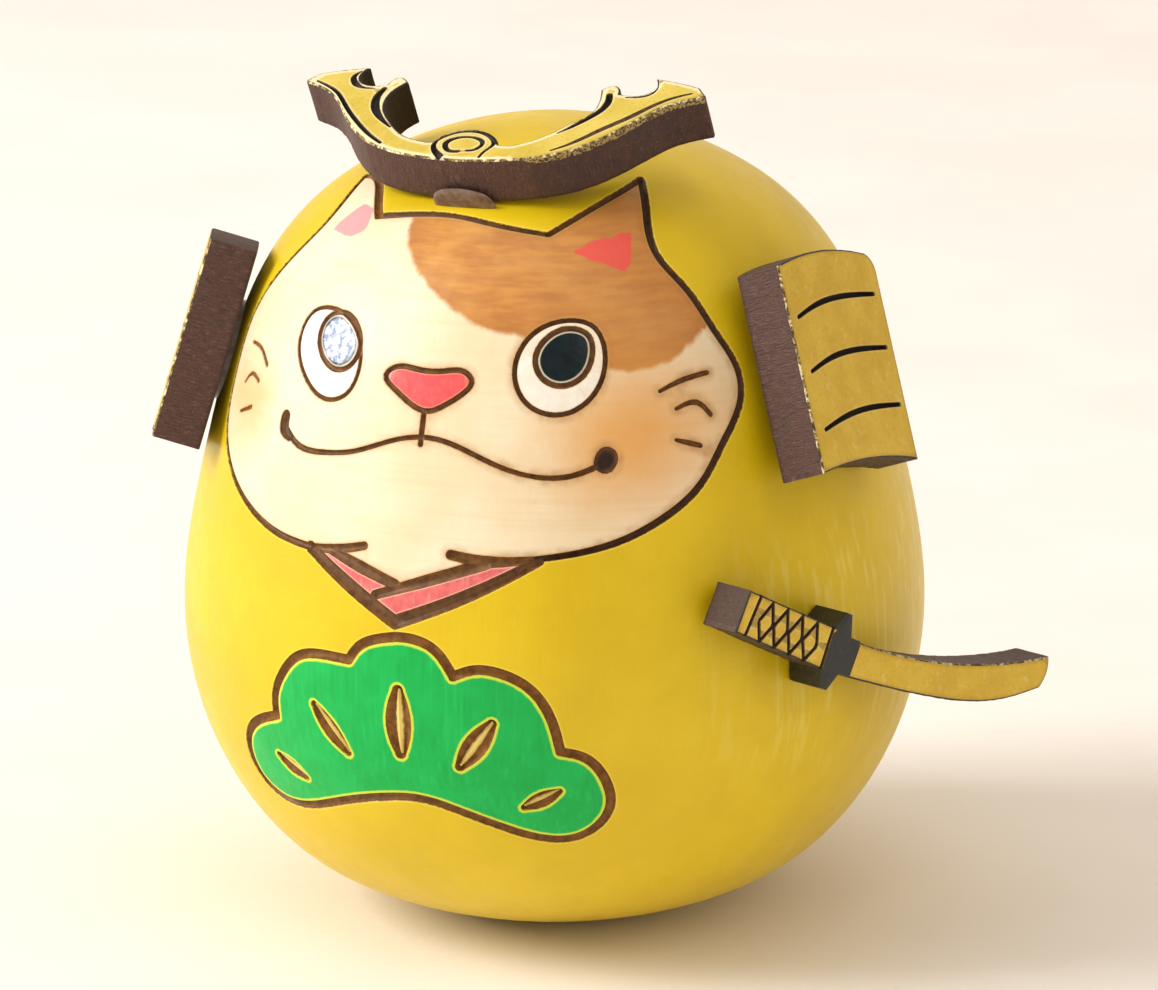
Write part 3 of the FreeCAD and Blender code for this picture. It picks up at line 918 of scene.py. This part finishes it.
def aim(obj, place, target):
    """Puts an object at a place, looking at a target."""
    away = (Vector(place) - Vector(target)).normalized()
    right = Vector((0, 0, 1)).cross(away).normalized()
    turn = Matrix((right, away.cross(right), away)).transposed()
    obj.matrix_world = Matrix.Translation(place) @ turn.to_4x4()


def make_camera():
    """A long lens from the front, a little above and to the doll's left."""
    data = bpy.data.cameras.new("camera")
    data.sensor_width = 36.0
    data.lens = 186.9
    data.clip_start = 0.01
    data.clip_end = 20.0
    camera = bpy.data.objects.new("camera", data)
    bpy.context.scene.collection.objects.link(camera)
    aim(camera, CAMERA_PLACE, CAMERA_TARGET)
    bpy.context.scene.camera = camera


def area_light(name, place, size, power, colour):
    """A soft box that looks at the doll's belly."""
    data = bpy.data.lights.new(name, "AREA")
    data.shape = "RECTANGLE"
    data.size, data.size_y = size
    data.energy = power
    data.color = colour
    light = bpy.data.objects.new(name, data)
    bpy.context.scene.collection.objects.link(light)
    aim(light, place, (0, 0, BELLY_HEIGHT))


def make_stage():
    """A pale floor that curves up into a backdrop."""
    front_end, bend_start, bend, height, half_width = -1.2, 0.9, 0.5, 2.2, 2.5
    below_foot = -3e-5
    section = [(front_end, below_foot), (bend_start, below_foot)]
    for a in np.radians(np.arange(1, 13) * 7.5):
        section.append((bend_start + bend * math.sin(a), bend - bend * math.cos(a)))
    section.append((bend_start + bend, height))
    verts = [(x, y, z) for x in (-half_width, half_width) for y, z in section]
    n = len(section)
    faces = [(i, i + n, i + n + 1, i + 1) for i in range(n - 1)]
    mesh = bpy.data.meshes.new("stage_floor")
    mesh.from_pydata(verts, [], faces)
    g = Graph("stage_cloth", roughness=0.9)
    tone = g.mix(g.band(g.noise(40.0, 3.0), 0.3, 0.7), rgb(244, 240, 236), rgb(248, 245, 242))
    mesh.materials.append(g.finish(tone, None, g.noise(0.8, 2.0), 0.02))
    mesh.polygons.foreach_set("use_smooth", np.ones(len(faces), bool))
    floor = bpy.data.objects.new("stage_floor", mesh)
    bpy.context.scene.collection.objects.link(floor)


def make_world():
    """An even, slightly warm sky."""
    world = bpy.data.worlds.new("studio")
    world.use_nodes = True
    back = world.node_tree.nodes["Background"]
    back.inputs["Color"].default_value = rgb(253, 239, 224)
    back.inputs["Strength"].default_value = 0.64
    bpy.context.scene.world = world
    bpy.context.scene.view_settings.view_transform = "Standard"


def away_from(azimuth, elevation, distance):
    """A place seen from the doll at an azimuth and an elevation."""
    a, e = math.radians(azimuth), math.radians(elevation)
    return (
        distance * math.sin(a) * math.cos(e),
        -distance * math.cos(a) * math.cos(e),
        BELLY_HEIGHT + distance * math.sin(e),
    )


# ---------------------------------------------------------------- the four plates
CREST_LOWER = [(0.0, -1.8), (5.2, -1.25), (9.0, 0.25), (12.45, 3.75), (14.8, 6.45), (17.6, 7.8)]
CREST_HORN_TOP = (16.6, 8.95)
CREST_LOBE = (14.6, 9.55)
CREST_BITE = [(12.5, 9.95), (12.9, 8.7), (12.4, 7.9), (11.4, 7.6), (10.2, 7.7)]
CREST_CURL = [(10.2, 7.7), (10.0, 8.4), (9.45, 8.85), (8.4, 8.15)]
CREST_HOLLOW_LEFT = [(8.4, 8.15), (9.3, 6.6), (9.2, 4.8), (7.9, 2.9), (5.9, 1.15), (3.6, 0.45)]
CREST_HOLLOW_RIGHT = [(8.4, 8.15), (8.8, 6.5), (8.65, 5.1), (7.4, 3.5), (5.6, 1.6), (3.6, 0.45)]
BOSS = [(-3.3, 0.5), (-0.4, 2.4), (2.5, 0.5)]
CURL_LEFT = [(-10.15, 7.15), (-10.35, 6.3), (-10.2, 5.3), (-9.85, 4.5), (-9.28, 3.7), (-8.39, 2.81),
             (-7.6, 2.15)]
CURL_RIGHT = [(9.4, 7.5), (9.62, 6.6), (9.48, 5.6), (9.0, 4.72), (8.3, 3.8), (7.55, 2.9),
              (6.9, 2.25)]
BORDER_LEFT = [(-16.4, 7.85), (-15.3, 7.3), (-14.3, 6.65), (-12.7, 4.85), (-10.55, 2.48),
               (-8.85, 0.95), (-7.6, 0.05)]
BORDER_RIGHT = [(16.2, 8.1), (15.0, 7.5), (13.8, 6.55), (12.2, 4.75), (10.2, 2.75), (8.6, 1.05),
                (7.2, 0.0)]
BITE_LEFT = [(-13.1, 9.35), (-13.45, 8.75), (-13.15, 7.95), (-12.3, 7.3), (-11.1, 7.15)]
BITE_RIGHT = [(12.95, 9.1), (13.05, 8.45), (12.75, 7.75), (11.9, 7.35), (10.9, 7.25)]
RING = [(-1.9, -1.3), (-2.55, -0.67), (-2.95, 0.15), (-2.82, 0.77), (-2.33, 1.27), (-1.72, 1.71),
        (-0.7, 2.0), (0.35, 1.98), (1.18, 1.63), (1.86, 1.08), (2.08, 0.5), (1.87, -0.11),
        (1.6, -0.7), (1.5, -1.25)]
SPIRAL = [(-0.55, -0.62), (-1.25, -0.62), (-1.87, -0.1), (-1.99, 0.43), (-1.6, 0.93), (-0.9, 1.22),
          (-0.1, 1.27), (0.65, 1.05), (1.12, 0.55), (1.05, 0.05), (0.7, -0.35), (0.12, -0.49)]

RIDGE = [(-1.6, -1.0), (-2.2, -0.4), (-2.42, 0.3), (-2.2, 0.95), (-1.65, 1.35), (-0.8, 1.62),
         (0.2, 1.6), (0.95, 1.32), (1.5, 0.8), (1.6, 0.25), (1.35, -0.3), (1.1, -0.85)]

SODE_WIDTH = 13.7
SODE_HEIGHT = 16.6
SODE_TOP_ARCH = 0.9
SODE_FOOT_ARCH = 0.6
SODE_CORNER = 1.3
CORNER_LIFT = 0.12
SODE_LINES = [
    [(-5.6, 4.1), (-2.6, 4.95), (0.9, 5.35), (5.7, 5.25)],
    [(-5.4, -0.25), (-2.2, 0.65), (0.9, 1.0), (5.8, 0.9)],
    [(-5.3, -4.9), (-1.8, -4.05), (1.2, -3.7), (5.9, -3.75)],
]

SWORD_CORNERS = [
    (3.0, 1.45), (3.0, 1.55), (1.9, 1.55), (1.23, 3.2), (0.67, 3.2), (0.0, 1.75), (-9.9, 1.75),
    (-9.9, -1.75), (0.0, -1.75), (0.67, -3.1), (1.23, -3.1), (1.9, -1.55), (3.0, -1.5),
]
BLADE_EDGE = [(3.0, -1.5), (12.3, -0.3), (20.0, 1.95), (23.2, 3.85)]
BLADE_END = [(23.2, 3.85), (23.5, 5.1), (23.1, 6.55)]
BLADE_BACK = [(23.1, 6.55), (13.2, 2.9), (3.0, 1.45)]
GUARD_END = 3.0
GUARD_CUT = [(3.0, -1.25), (3.0, 1.2)]
GRIP_ENDS = [[(-8.6, 1.7), (-8.85, -1.7)], [(-0.35, 1.7), (-0.2, -1.7)]]
# Each crossing of the wrap: its top, its left and right bulges and its foot.
GRIP_WRAP = [
    (-7.2, (-8.0, -0.2), (-6.45, -0.1), -7.25), (-5.5, (-6.35, -0.1), (-4.8, -0.1), -5.6),
    (-3.8, (-4.65, -0.15), (-3.1, -0.15), -3.9), (-2.1, (-3.0, -0.2), (-1.4, -0.2), -2.2),
]
WRAP_TOP = 1.5
WRAP_FOOT = -1.65

WALL_STEP = 0.22
FACE_GRID = 0.55
BEVEL = 0.16
CORNER_BEND = 0.45
FACE_MARGIN = 0.25
RIPPLE_LENGTH = 0.45


def mirrored(points, side):
    """The points, flipped left to right where `side` is -1."""
    return [(side * x, y) for x, y in points]


def crest_outline():
    """Counter-clockwise, from the middle of the lower edge round both horns."""
    def half(side, hollow):
        def m(points):
            return mirrored(points, side)
        return chain(
            spline(m(CREST_LOWER)), m([CREST_LOWER[-1], CREST_HORN_TOP]),
            arc3(*m([CREST_HORN_TOP, CREST_LOBE, CREST_BITE[0]])), spline(m(CREST_BITE)),
            spline(m(CREST_CURL)), spline(m(hollow)),
        )
    boss = arc3(*BOSS[::-1])
    end = CREST_HOLLOW_RIGHT[-1]
    return chain(half(1, CREST_HOLLOW_RIGHT), [end, BOSS[-1]], boss,
                 [BOSS[0], (-end[0], end[1])], half(-1, CREST_HOLLOW_LEFT)[::-1])


def sode_outline(rear):
    """Counter-clockwise, with the upper corner on the rear side rounded."""
    w, h, r = SODE_WIDTH / 2, SODE_HEIGHT / 2, SODE_CORNER
    foot = arc3((-w, -h), (0, SODE_FOOT_ARCH - h), (w, -h))
    top = arc3((w, h), (0, h + SODE_TOP_ARCH), (-w, h), 120)
    slope = 2 * SODE_TOP_ARCH / w
    lean = math.sqrt(0.5)
    bulge = r * (1 - lean)
    corner = arc3((w, h - r), (w - bulge, h - bulge + CORNER_LIFT), (w - r, h + slope * r))
    top = top[top[:, 0] < w - r]
    shape = np.vstack([foot, corner, top])
    if rear < 0:
        shape = (shape * (-1, 1))[::-1]
    return shape


def sword_outline():
    """Counter-clockwise: guard and handle, then the blade's edge, end and back."""
    return chain(SWORD_CORNERS, spline(BLADE_EDGE), arc3(*BLADE_END), arc3(*BLADE_BACK))


def even_loop(path, step):
    """A closed loop of even points that keeps its corners."""
    if np.linalg.norm(path[0] - path[-1]) > 1e-6:
        path = np.vstack([path, path[:1]])
    legs = np.linalg.norm(np.diff(path, axis=0), axis=1)
    path = path[np.concatenate([[True], legs > 1e-6])]
    d = np.diff(path, axis=0)
    heading = np.arctan2(d[:, 1], d[:, 0])
    turn = np.diff(np.concatenate([heading[-1:], heading]))
    bend = np.abs((turn + math.pi) % (2 * math.pi) - math.pi)
    corners = [i for i in range(len(d)) if bend[i] > CORNER_BEND]
    if not corners:
        return resample(path, step)[:-1]
    path = np.vstack([path[corners[0]:-1], path[:corners[0] + 1]])
    corners = [c - corners[0] for c in corners] + [len(path) - 1]
    parts = [resample(path[a:b + 1], step)[:-1] for a, b in zip(corners, corners[1:])]
    return np.vstack(parts)


def loop_normals(loop):
    """Outward unit normals of a counter-clockwise loop."""
    ahead = np.roll(loop, -1, axis=0) - loop
    behind = loop - np.roll(loop, 1, axis=0)
    ahead /= np.maximum(np.linalg.norm(ahead, axis=1), 1e-9)[:, None]
    behind /= np.maximum(np.linalg.norm(behind, axis=1), 1e-9)[:, None]
    t = ahead + behind
    size = np.maximum(np.linalg.norm(t, axis=1), 0.7)
    t = t / size[:, None] / (size[:, None] / 2)
    return np.stack([t[:, 1], -t[:, 0]], -1)


def boundary_loop(faces):
    """The outer edge of a flat patch of triangles, in order."""
    edges = {}
    for a, b, c in faces:
        for pair in ((a, b), (b, c), (c, a)):
            edges[pair] = True
    rim = {a: b for a, b in edges if (b, a) not in edges}
    start = next(iter(rim))
    loop = [start]
    while rim[loop[-1]] != start:
        loop.append(rim[loop[-1]])
    return loop


def crest_marks(points, normals):
    """Soot on the walls of the hollow and the bites; wear along the right lower arris."""
    x = points[:, 0]
    inward = normals[:, 0] * np.sign(x) < -0.05
    soot = np.where(inward | (normals[:, 1] > 0.15), 1.0, 0.0)
    wear = np.clip((x - 3.0) / 3.0, 0.15, 1.0) * (1 - soot)
    return soot, wear


def sode_marks(rear):
    """Chips on the front arris only; the top, the rear and the foot are lightly sooted."""
    def marks(points, normals):
        soot = np.where(normals[:, 0] * rear > -0.6, 0.4, 0.0)
        return soot, np.full(len(points), 0.7)
    return marks


def sword_marks(points, normals):
    """Light soot all round; the blade's back is rubbed, most of all beside the guard."""
    back = (points[:, 0] > GUARD_END) & (normals[:, 1] > 0.3)
    wear = np.where(back, np.clip((26.0 - points[:, 0]) / 16.0, 0.7, 1.0), 0.7)
    return np.where(back, 0.15, 0.4), wear


def plate_face(shape, inner, strokes, ridge, cuts):
    """Flat points and triangles of a plate's outer face."""
    low, high = shape.min(0), shape.max(0)
    xs = np.arange(low[0], high[0], FACE_GRID)
    ys = np.arange(low[1], high[1], FACE_GRID * 0.87)
    grid = np.array([(x + FACE_GRID / 2 * (j % 2), y) for j, y in enumerate(ys) for x in xs])
    grid = grid[inside(grid, inner)]
    d, _ = segment_distance(grid, inner, np.roll(inner, -1, axis=0))
    grid = grid[d > FACE_MARGIN]
    grid = thin_out(grid, np.column_stack([grid, np.zeros(len(grid))]), strokes)
    grid = np.vstack([grid, *ridge])
    loops, lines = guides(strokes, SECTION[:3])
    flat, faces = triangulate(
        grid, [inner, *loops], [np.array(c, float) for c in cuts] + lines)
    return grid, flat, faces[inside(flat[faces].mean(1), inner)]


def plate_wall(loop, normals, top, seed):
    """Rings of points from the arris to the back, rippled along the outline by the cut."""
    outs = [0.35, 0.7, 1.0] + [1.0] * 7 + [1.0, 0.6]
    levels = [SHEET - BEVEL * 0.12, SHEET - BEVEL * 0.45, SHEET - BEVEL]
    levels += list(np.linspace(SHEET - 0.6, 0.5, 7)) + [BEVEL * 0.7, 0.0]
    rng = np.random.default_rng(seed)
    along = np.cumsum(np.linalg.norm(np.roll(loop, -1, axis=0) - loop, axis=1))
    knots = np.arange(0, along[-1] + 1, RIPPLE_LENGTH)
    coarse = np.interp(along, knots, rng.normal(0, 1, len(knots)))
    ripple = 0.012 * coarse + 0.008 * rng.normal(0, 1, len(loop))
    rings = []
    for k, (out, z) in enumerate(zip(outs, levels)):
        wobble = np.array([noise.noise(Vector((a * 0.8, z * 0.9, seed * 7.0))) for a in along])
        push = BEVEL * out + (
            ripple * (1 - 0.3 * wobble) + 0.015 * wobble) * (k > 1) - 0.02 * (k > 1)
        ring = loop + normals * push[:, None]
        height = np.full(len(loop), z) if k > 1 else np.minimum(z, top - 0.02 * (k + 1))
        rings.append(np.column_stack([ring, height]))
    return rings, along, levels


def build_plate(name, shape, seat, lift, strokes, areas, materials, marks, seed, ridge=(), cuts=()):
    """A plate cut from the sheet: engraved face, worn arris, rippled wall and plain back.

    `areas` gives painted areas of the face as (slot, test on flat points). Slots 0 to 2 are
    the face, the worn arris and the wall. `marks` gives soot and wear along the outline."""
    shape = even_loop(np.array(shape), WALL_STEP)
    grid, flat, faces = plate_face(shape, shape - loop_normals(shape) * BEVEL, strokes, ridge, cuts)
    rim = boundary_loop(faces)
    loop = flat[rim]
    normals = loop_normals(loop)
    n = len(rim)
    depth, edge, _, _ = carve(np.column_stack([flat, np.zeros(len(flat))]), strokes)
    border, _ = segment_distance(flat, shape, np.roll(shape, -1, axis=0))
    face = np.column_stack([flat, SHEET - depth])
    rings, along, levels = plate_wall(loop, normals, face[rim, 2], seed)
    verts = np.vstack([face, *rings])

    base = len(flat)
    quads, slots = [], []
    ring_ids = [np.array(rim)] + [base + k * n + np.arange(n) for k in range(len(rings))]
    for k, (upper, lower) in enumerate(zip(ring_ids, ring_ids[1:])):
        for i in range(n):
            j = (i + 1) % n
            quads.append((upper[i], lower[i], lower[j], upper[j]))
            slots.append(1 if k < 3 else 2)

    back_flat, back_faces = triangulate(grid[::7], [loop])
    back_faces = back_faces[inside(back_flat[back_faces].mean(1), loop)]
    lookup = {}
    for i in boundary_loop(back_faces):
        gap = np.linalg.norm(loop - back_flat[i], axis=1)
        lookup[i] = int(ring_ids[-1][gap.argmin()])
    extra = [i for i in range(len(back_flat)) if i not in lookup]
    lookup.update({i: len(verts) + k for k, i in enumerate(extra)})
    verts = np.vstack([verts, np.column_stack([back_flat[extra], np.zeros(len(extra))])])
    back = [(lookup[c], lookup[b], lookup[a]) for a, b, c in back_faces]

    slots = np.concatenate([np.zeros(len(faces), int), slots])
    centres = np.vstack([flat[faces].mean(1), [verts[list(q)].mean(0)[:2] for q in quads]])
    for number, test in areas:
        slots[test(centres)] = number
    indices = np.concatenate([slots, np.full(len(back), 2)])
    turned = np.linalg.norm(flat[:, None] - loop[None, ::4], axis=2).argmin(1) * 4
    soot, wear = marks(loop, normals)
    wall, pad = np.zeros(n * len(rings)), np.zeros(len(extra))
    values = {
        "lip": (edge, wall + LIP_REACH, pad + LIP_REACH),
        "deep": (depth, wall, pad),
        "border": (border, wall, pad),
        "along": (np.zeros(base), np.tile(along, len(rings)), pad),
        "level": (np.full(base, SHEET), np.repeat(levels, n), pad),
        "soot": (soot[turned], np.tile(soot, len(rings)), pad),
        "wear": (wear[turned], np.tile(wear, len(rings)), pad),
    }
    values = {key: np.concatenate(parts) for key, parts in values.items()}
    basis, origin = seat_matrix(seat, lift)
    faces = [tuple(f) for f in faces] + quads + back
    return mesh_object(name, verts @ basis.T + origin, faces, materials, indices, values, 40.0)


def plate_stroke(points, half, depth, smooth=True):
    """A stroke drawn on a plate's face."""
    path = spline(points) if smooth else np.array(points, float)
    return stroke(path, half, depth, step=WALL_STEP)


def crest_strokes():
    """The crest's spiral and ring, its curls, and the lines along its borders and bites."""
    return [
        plate_stroke(RING, [0.34, 0.24, 0.16, 0.15, 0.16, 0.22, 0.26, 0.16, 0.14], 0.4),
        plate_stroke(SPIRAL, [0.2, 0.22, 0.26, 0.16, 0.14, 0.2, 0.2, 0.14], 0.35),
        plate_stroke(CURL_LEFT, [0.26, 0.36, 0.38, 0.32, 0.2, 0.1], 0.45),
        plate_stroke(CURL_RIGHT, [0.28, 0.34, 0.3, 0.28, 0.2, 0.08], 0.45),
        plate_stroke(BORDER_LEFT, [0.12, 0.18, 0.2, 0.2, 0.2, 0.16], 0.4),
        plate_stroke(BORDER_RIGHT, [0.12, 0.2, 0.26, 0.26, 0.22, 0.1], 0.17),
        plate_stroke(BITE_LEFT, [0.1, 0.26, 0.3, 0.16, 0.08], 0.35),
        plate_stroke(BITE_RIGHT, [0.12, 0.14, 0.14, 0.12, 0.08], 0.25),
    ]


def build_plates():
    """The crest, both shoulder guards and the sword."""
    lemon = gold_face("crest_gold", rgb(208, 182, 60), rgb(222, 200, 92))
    gold = gold_face("plate_gold", rgb(206, 168, 36), rgb(218, 184, 54))
    arris, wall, guard = worn_arris(), scorched_wall(), guard_black()
    plates = [
        build_plate("crest_plate", crest_outline(), CREST_SEAT, GLUE_FILM, crest_strokes(), [],
                    [lemon, arris, wall], marks=crest_marks, ridge=[resample(spline(RIDGE), 0.3)],
                    seed=3),
    ]
    for name, seat, rear, seed in (("right_sode_plate", RIGHT_SODE_SEAT, 1, 5),
                                   ("left_sode_plate", LEFT_SODE_SEAT, -1, 6)):
        lines = [plate_stroke(mirrored(p, rear), [0.17, 0.24, 0.24, 0.19], 0.4)
                 for p in SODE_LINES]
        plates.append(build_plate(name, sode_outline(rear), seat, GLUE_FILM, lines, [],
                                  [gold, arris, wall], marks=sode_marks(rear), seed=seed))

    def on_guard(p):
        return (p[:, 0] > -0.02) & (p[:, 0] < GUARD_END)

    grip = [*GRIP_ENDS]
    for top, left, right, foot in GRIP_WRAP:
        grip += [[(top, WRAP_TOP), bulge, (foot, WRAP_FOOT)] for bulge in (left, right)]
    grip = [plate_stroke(p, 0.17, 0.3, smooth=False) for p in grip]
    plates.append(build_plate("sword_plate", sword_outline(), SWORD_SEAT,
                              GLUE_FILM - SWORD_FLAT_DEPTH, grip, [(3, on_guard)],
                              [gold, arris, wall, guard], marks=sword_marks,
                              cuts=[GUARD_CUT], seed=8))
    return plates


# ---------------------------------------------------------------- plate materials
def gold_face(name, low, high):
    """Mottled gold paint, pale (worn paint with a painted highlight) or rubbed along its border,
    with burnt engraving.
    """
    g = Graph(name, Metallic=0.15, Coat_Weight=0.1, Coat_Roughness=0.4)
    cloud = g.noise(3.0, 5.0)
    grit = g.noise(0.3, 4.0)
    wear = g.value("wear")
    paint = g.mix(g.band(cloud, 0.3, 0.7), low, high)
    paint = g.tint(paint, g.band(grit, 0.56, 0.7), 0.4, rgb(176, 146, 52))
    pale = g.times(g.band(g.noise(0.9, 5.0), 0.55, 0.75), 0.22)
    paint = g.mix(pale, paint, rgb(246, 232, 158))
    edge = g.shaken(g.value("border"), 0.35, 0.25)
    # Cream along the border where wear is low, which is the crest's left half: worn paint and a
    # painted highlight.
    border_wear_and_highlight = g.times(g.band(edge, 0.55, 0.4), g.band(wear, 0.6, 0.2))
    paint = g.tint(paint, border_wear_and_highlight, 0.75, rgb(248, 238, 200))
    rubbed = g.times(g.band(edge, 0.5, 0.1), g.band(wear, 0.3, 0.9))
    paint = g.tint(paint, rubbed, 0.5, rgb(150, 122, 52))
    lip = g.shaken(g.value("lip"), 0.25, 0.06)
    # Pale rims beside the grooves: a burn halo, made stronger where wear is low (the crest's left
    # half) as a painted highlight.
    halo = g.times(g.band(lip, 0.2, 0.04), g.blend(g.band(wear, 0.6, 0.2), 0.1, 0.45))
    paint = g.mix(halo, paint, rgb(250, 240, 196))
    dull = g.times(g.band(edge, 0.22, 0.12), g.value("soot"))
    paint = g.mix(dull, paint, rgb(110, 84, 34))
    walls = g.mix(g.band(g.noise(0.5, 3.0), 0.4, 0.62), rgb(104, 70, 34), rgb(60, 38, 20))
    floor = g.band(g.value("deep"), 0.1, 0.24)
    burn = g.mix(floor, walls, rgb(22, 17, 13))
    colour = g.mix(g.band(lip, 0.03, -0.03), paint, burn)
    rough = g.blend(g.band(grit, 0.3, 0.7), 0.42, 0.6)
    relief = g.add(g.times(grit, 0.6), g.times(cloud, 0.4))
    return g.finish(colour, rough, relief, 0.05)


def worn_arris():
    """The chipped edge between the gold face and the charred wall."""
    g = Graph("worn_arris", roughness=0.6)
    chips = g.noise(0.55, 5.0)
    flakes = g.noise(0.22, 4.0)
    wear = g.value("wear")
    colour = g.mix(g.band(flakes, 0.35, 0.6), rgb(84, 60, 32), rgb(160, 132, 62))
    pale = g.times(g.band(chips, 0.5, 0.58), g.band(flakes, 0.38, 0.5))
    colour = g.mix(pale, colour, rgb(236, 222, 172))
    colour = g.tint(colour, g.band(chips, 0.46, 0.38), 0.9, rgb(30, 22, 17))
    colour = g.mix(g.band(g.value("soot"), 0.0, 0.45), colour, rgb(46, 35, 22))
    relief = g.times(g.add(chips, flakes), g.blend(wear, 0.6, 1.4))
    return g.finish(colour, None, relief, 0.08)


def scorched_wall():
    """The laser-cut wall: charred ribs with painted highlights on them, specks of bare wood and
    torn gold along its top.
    """
    g = Graph("scorched_wall", Specular_IOR_Level=0.35)
    along, level = g.value("along"), g.value("level")
    where = g.node("ShaderNodeCombineXYZ", {0: along, 1: level, 2: 0.0}).outputs[0]
    ribs = g.noise(0.14, 5.0, (1.0, 0.16, 1.0), vector=where)
    bands = g.noise(1.4, 5.0, (1.0, 0.8, 1.0), vector=where)
    grit = g.noise(0.16, 3.0)
    colour = g.mix(g.band(ribs, 0.3, 0.72), rgb(66, 44, 38), rgb(96, 68, 58))
    # Painted highlight: pale grey streaks along the ribs of the wall.
    painted_rib_highlight = g.times(g.band(ribs, 0.58, 0.72), g.band(bands, 0.35, 0.65))
    colour = g.tint(colour, painted_rib_highlight, 0.5, rgb(156, 132, 124))
    right = g.band(g.value("wear"), 0.75, 1.0)
    colour = g.tint(colour, right, 0.4, rgb(46, 34, 33))
    colour = g.tint(colour, g.band(bands, 0.45, 0.7), 0.5, rgb(88, 56, 40))
    colour = g.tint(colour, g.band(grit, 0.58, 0.74), 0.45, rgb(140, 112, 98))
    colour = g.tint(colour, g.band(grit, 0.42, 0.3), 0.5, rgb(42, 27, 21))
    top = g.shaken(level, 0.4, 0.4)
    colour = g.tint(colour, g.band(top, 3.7, 3.95), 0.6, rgb(34, 24, 18))
    reach = g.math("MULTIPLY_ADD", g.band(g.value("wear"), 0.65, 1.0), -0.6, c=4.0)
    torn = g.math("GREATER_THAN", g.shaken(level, 0.5, 0.5), reach)
    flecks = g.mix(g.band(g.noise(0.2, 4.0), 0.42, 0.56), rgb(74, 56, 34), rgb(184, 162, 98))
    colour = g.tint(colour, torn, 0.85, flecks)
    colour = g.tint(colour, g.value("soot"), 0.85, rgb(32, 24, 14))
    colour = g.tint(colour, g.band(level, 0.4, 0.0), 0.5, rgb(40, 28, 22))
    rough = g.blend(g.band(ribs, 0.3, 0.7), 0.42, 0.66)
    relief = g.add(ribs, g.times(grit, 0.5))
    return g.finish(colour, rough, relief, 0.1)


def guard_black():
    """The sword guard's black paint."""
    g = Graph("guard_black", Coat_Weight=0.2, Coat_Roughness=0.3)
    mottle = g.noise(0.6, 4.0)
    colour = g.mix(g.band(mottle, 0.35, 0.65), rgb(15, 18, 15), rgb(30, 34, 28))
    colour = g.tint(colour, g.band(g.noise(0.3, 4.0), 0.62, 0.72), 0.5, rgb(84, 78, 54))
    rough = g.blend(g.band(mottle, 0.3, 0.7), 0.34, 0.55)
    return g.finish(colour, rough, mottle, 0.06)


def turned_plug_wood():
    """End grain of the plug under the foot."""
    g = Graph("turned_plug_wood", roughness=0.6)
    rings = g.noise(0.7, 3.0, (1.0, 0.35, 1.0))
    pores = g.noise(0.18, 2.0)
    colour = g.mix(g.band(rings, 0.4, 0.65), rgb(222, 196, 146), rgb(188, 152, 100))
    colour = g.tint(colour, g.band(pores, 0.62, 0.72), 0.5, rgb(132, 98, 60))
    return g.finish(colour, None, g.add(rings, pores), 0.04)


def turned_steel():
    """The ballast slug, faced on a lathe."""
    g = Graph("turned_steel", Metallic=1.0)
    lines = g.noise(0.25, 2.0, (0.02, 0.02, 1.0))
    stain = g.noise(4.0, 4.0)
    colour = g.mix(g.band(stain, 0.35, 0.7), rgb(150, 150, 154), rgb(118, 112, 106))
    rough = g.blend(lines, 0.28, 0.5)
    return g.finish(colour, rough, lines, 0.02)


def clear_glue():
    """Glue that dried to a cloudy amber."""
    g = Graph("clear_glue", Coat_Weight=0.25, Coat_Roughness=0.2)
    cloud = g.noise(0.8, 4.0)
    colour = g.mix(g.band(cloud, 0.35, 0.65), rgb(98, 74, 58), rgb(128, 104, 84))
    rough = g.blend(cloud, 0.16, 0.34)
    return g.finish(colour, rough, cloud, 0.03)


# Name, azimuth and elevation, distance, size, power and colour of each light.
LIGHTS = [
    ("window", (-62, 30), 1.1, (0.5, 0.6), 11.5, (1.0, 0.99, 0.97)),
    ("fill", (60, 35), 1.6, (1.2, 1.2), 2.2, (1.0, 0.91, 0.77)),
    ("top", (-10, 80), 1.3, (0.9, 0.9), 2.2, (1.0, 0.97, 0.92)),
]


def paint_node(name, material):
    """Gives a carried-over CAD node its material."""
    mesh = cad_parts[name].data
    mesh.materials.clear()
    mesh.materials.append(material)


def main():
    """Makes the pieces, dresses the CAD nodes, and sets the stage."""
    collar = flat_paint(
        "collar_pink", rgb(232, 120, 118), rgb(214, 96, 96), rgb(238, 190, 170), 0.2, 0.4)
    white = flat_paint(
        "eye_white", rgb(250, 246, 236), rgb(244, 236, 220), rgb(236, 216, 178), 0.3, 0.42)
    nose = flat_paint(
        "nose_coral", rgb(240, 92, 94), rgb(228, 76, 82), rgb(240, 150, 110), 0.3, 0.42)
    body = build_body(
        [yellow_lacquer(), collar, face_wood(), white, pupil_gloss(), nose, pine_green()])
    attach(body, "root")
    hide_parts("body")
    for plate in build_plates():
        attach(plate, "root")
        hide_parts(plate.name.replace("_plate", ""))
    paint_node("base_plug", turned_plug_wood())
    paint_node("base_weight", turned_steel())
    glue = clear_glue()
    for name in ("crest_glue", "left_sode_glue", "right_sode_glue", "sword_glue"):
        paint_node(name, glue)
    make_stage()
    make_camera()
    make_world()
    for name, direction, distance, size, power, colour in LIGHTS:
        area_light(name, away_from(*direction, distance), size, power, colour)


main()
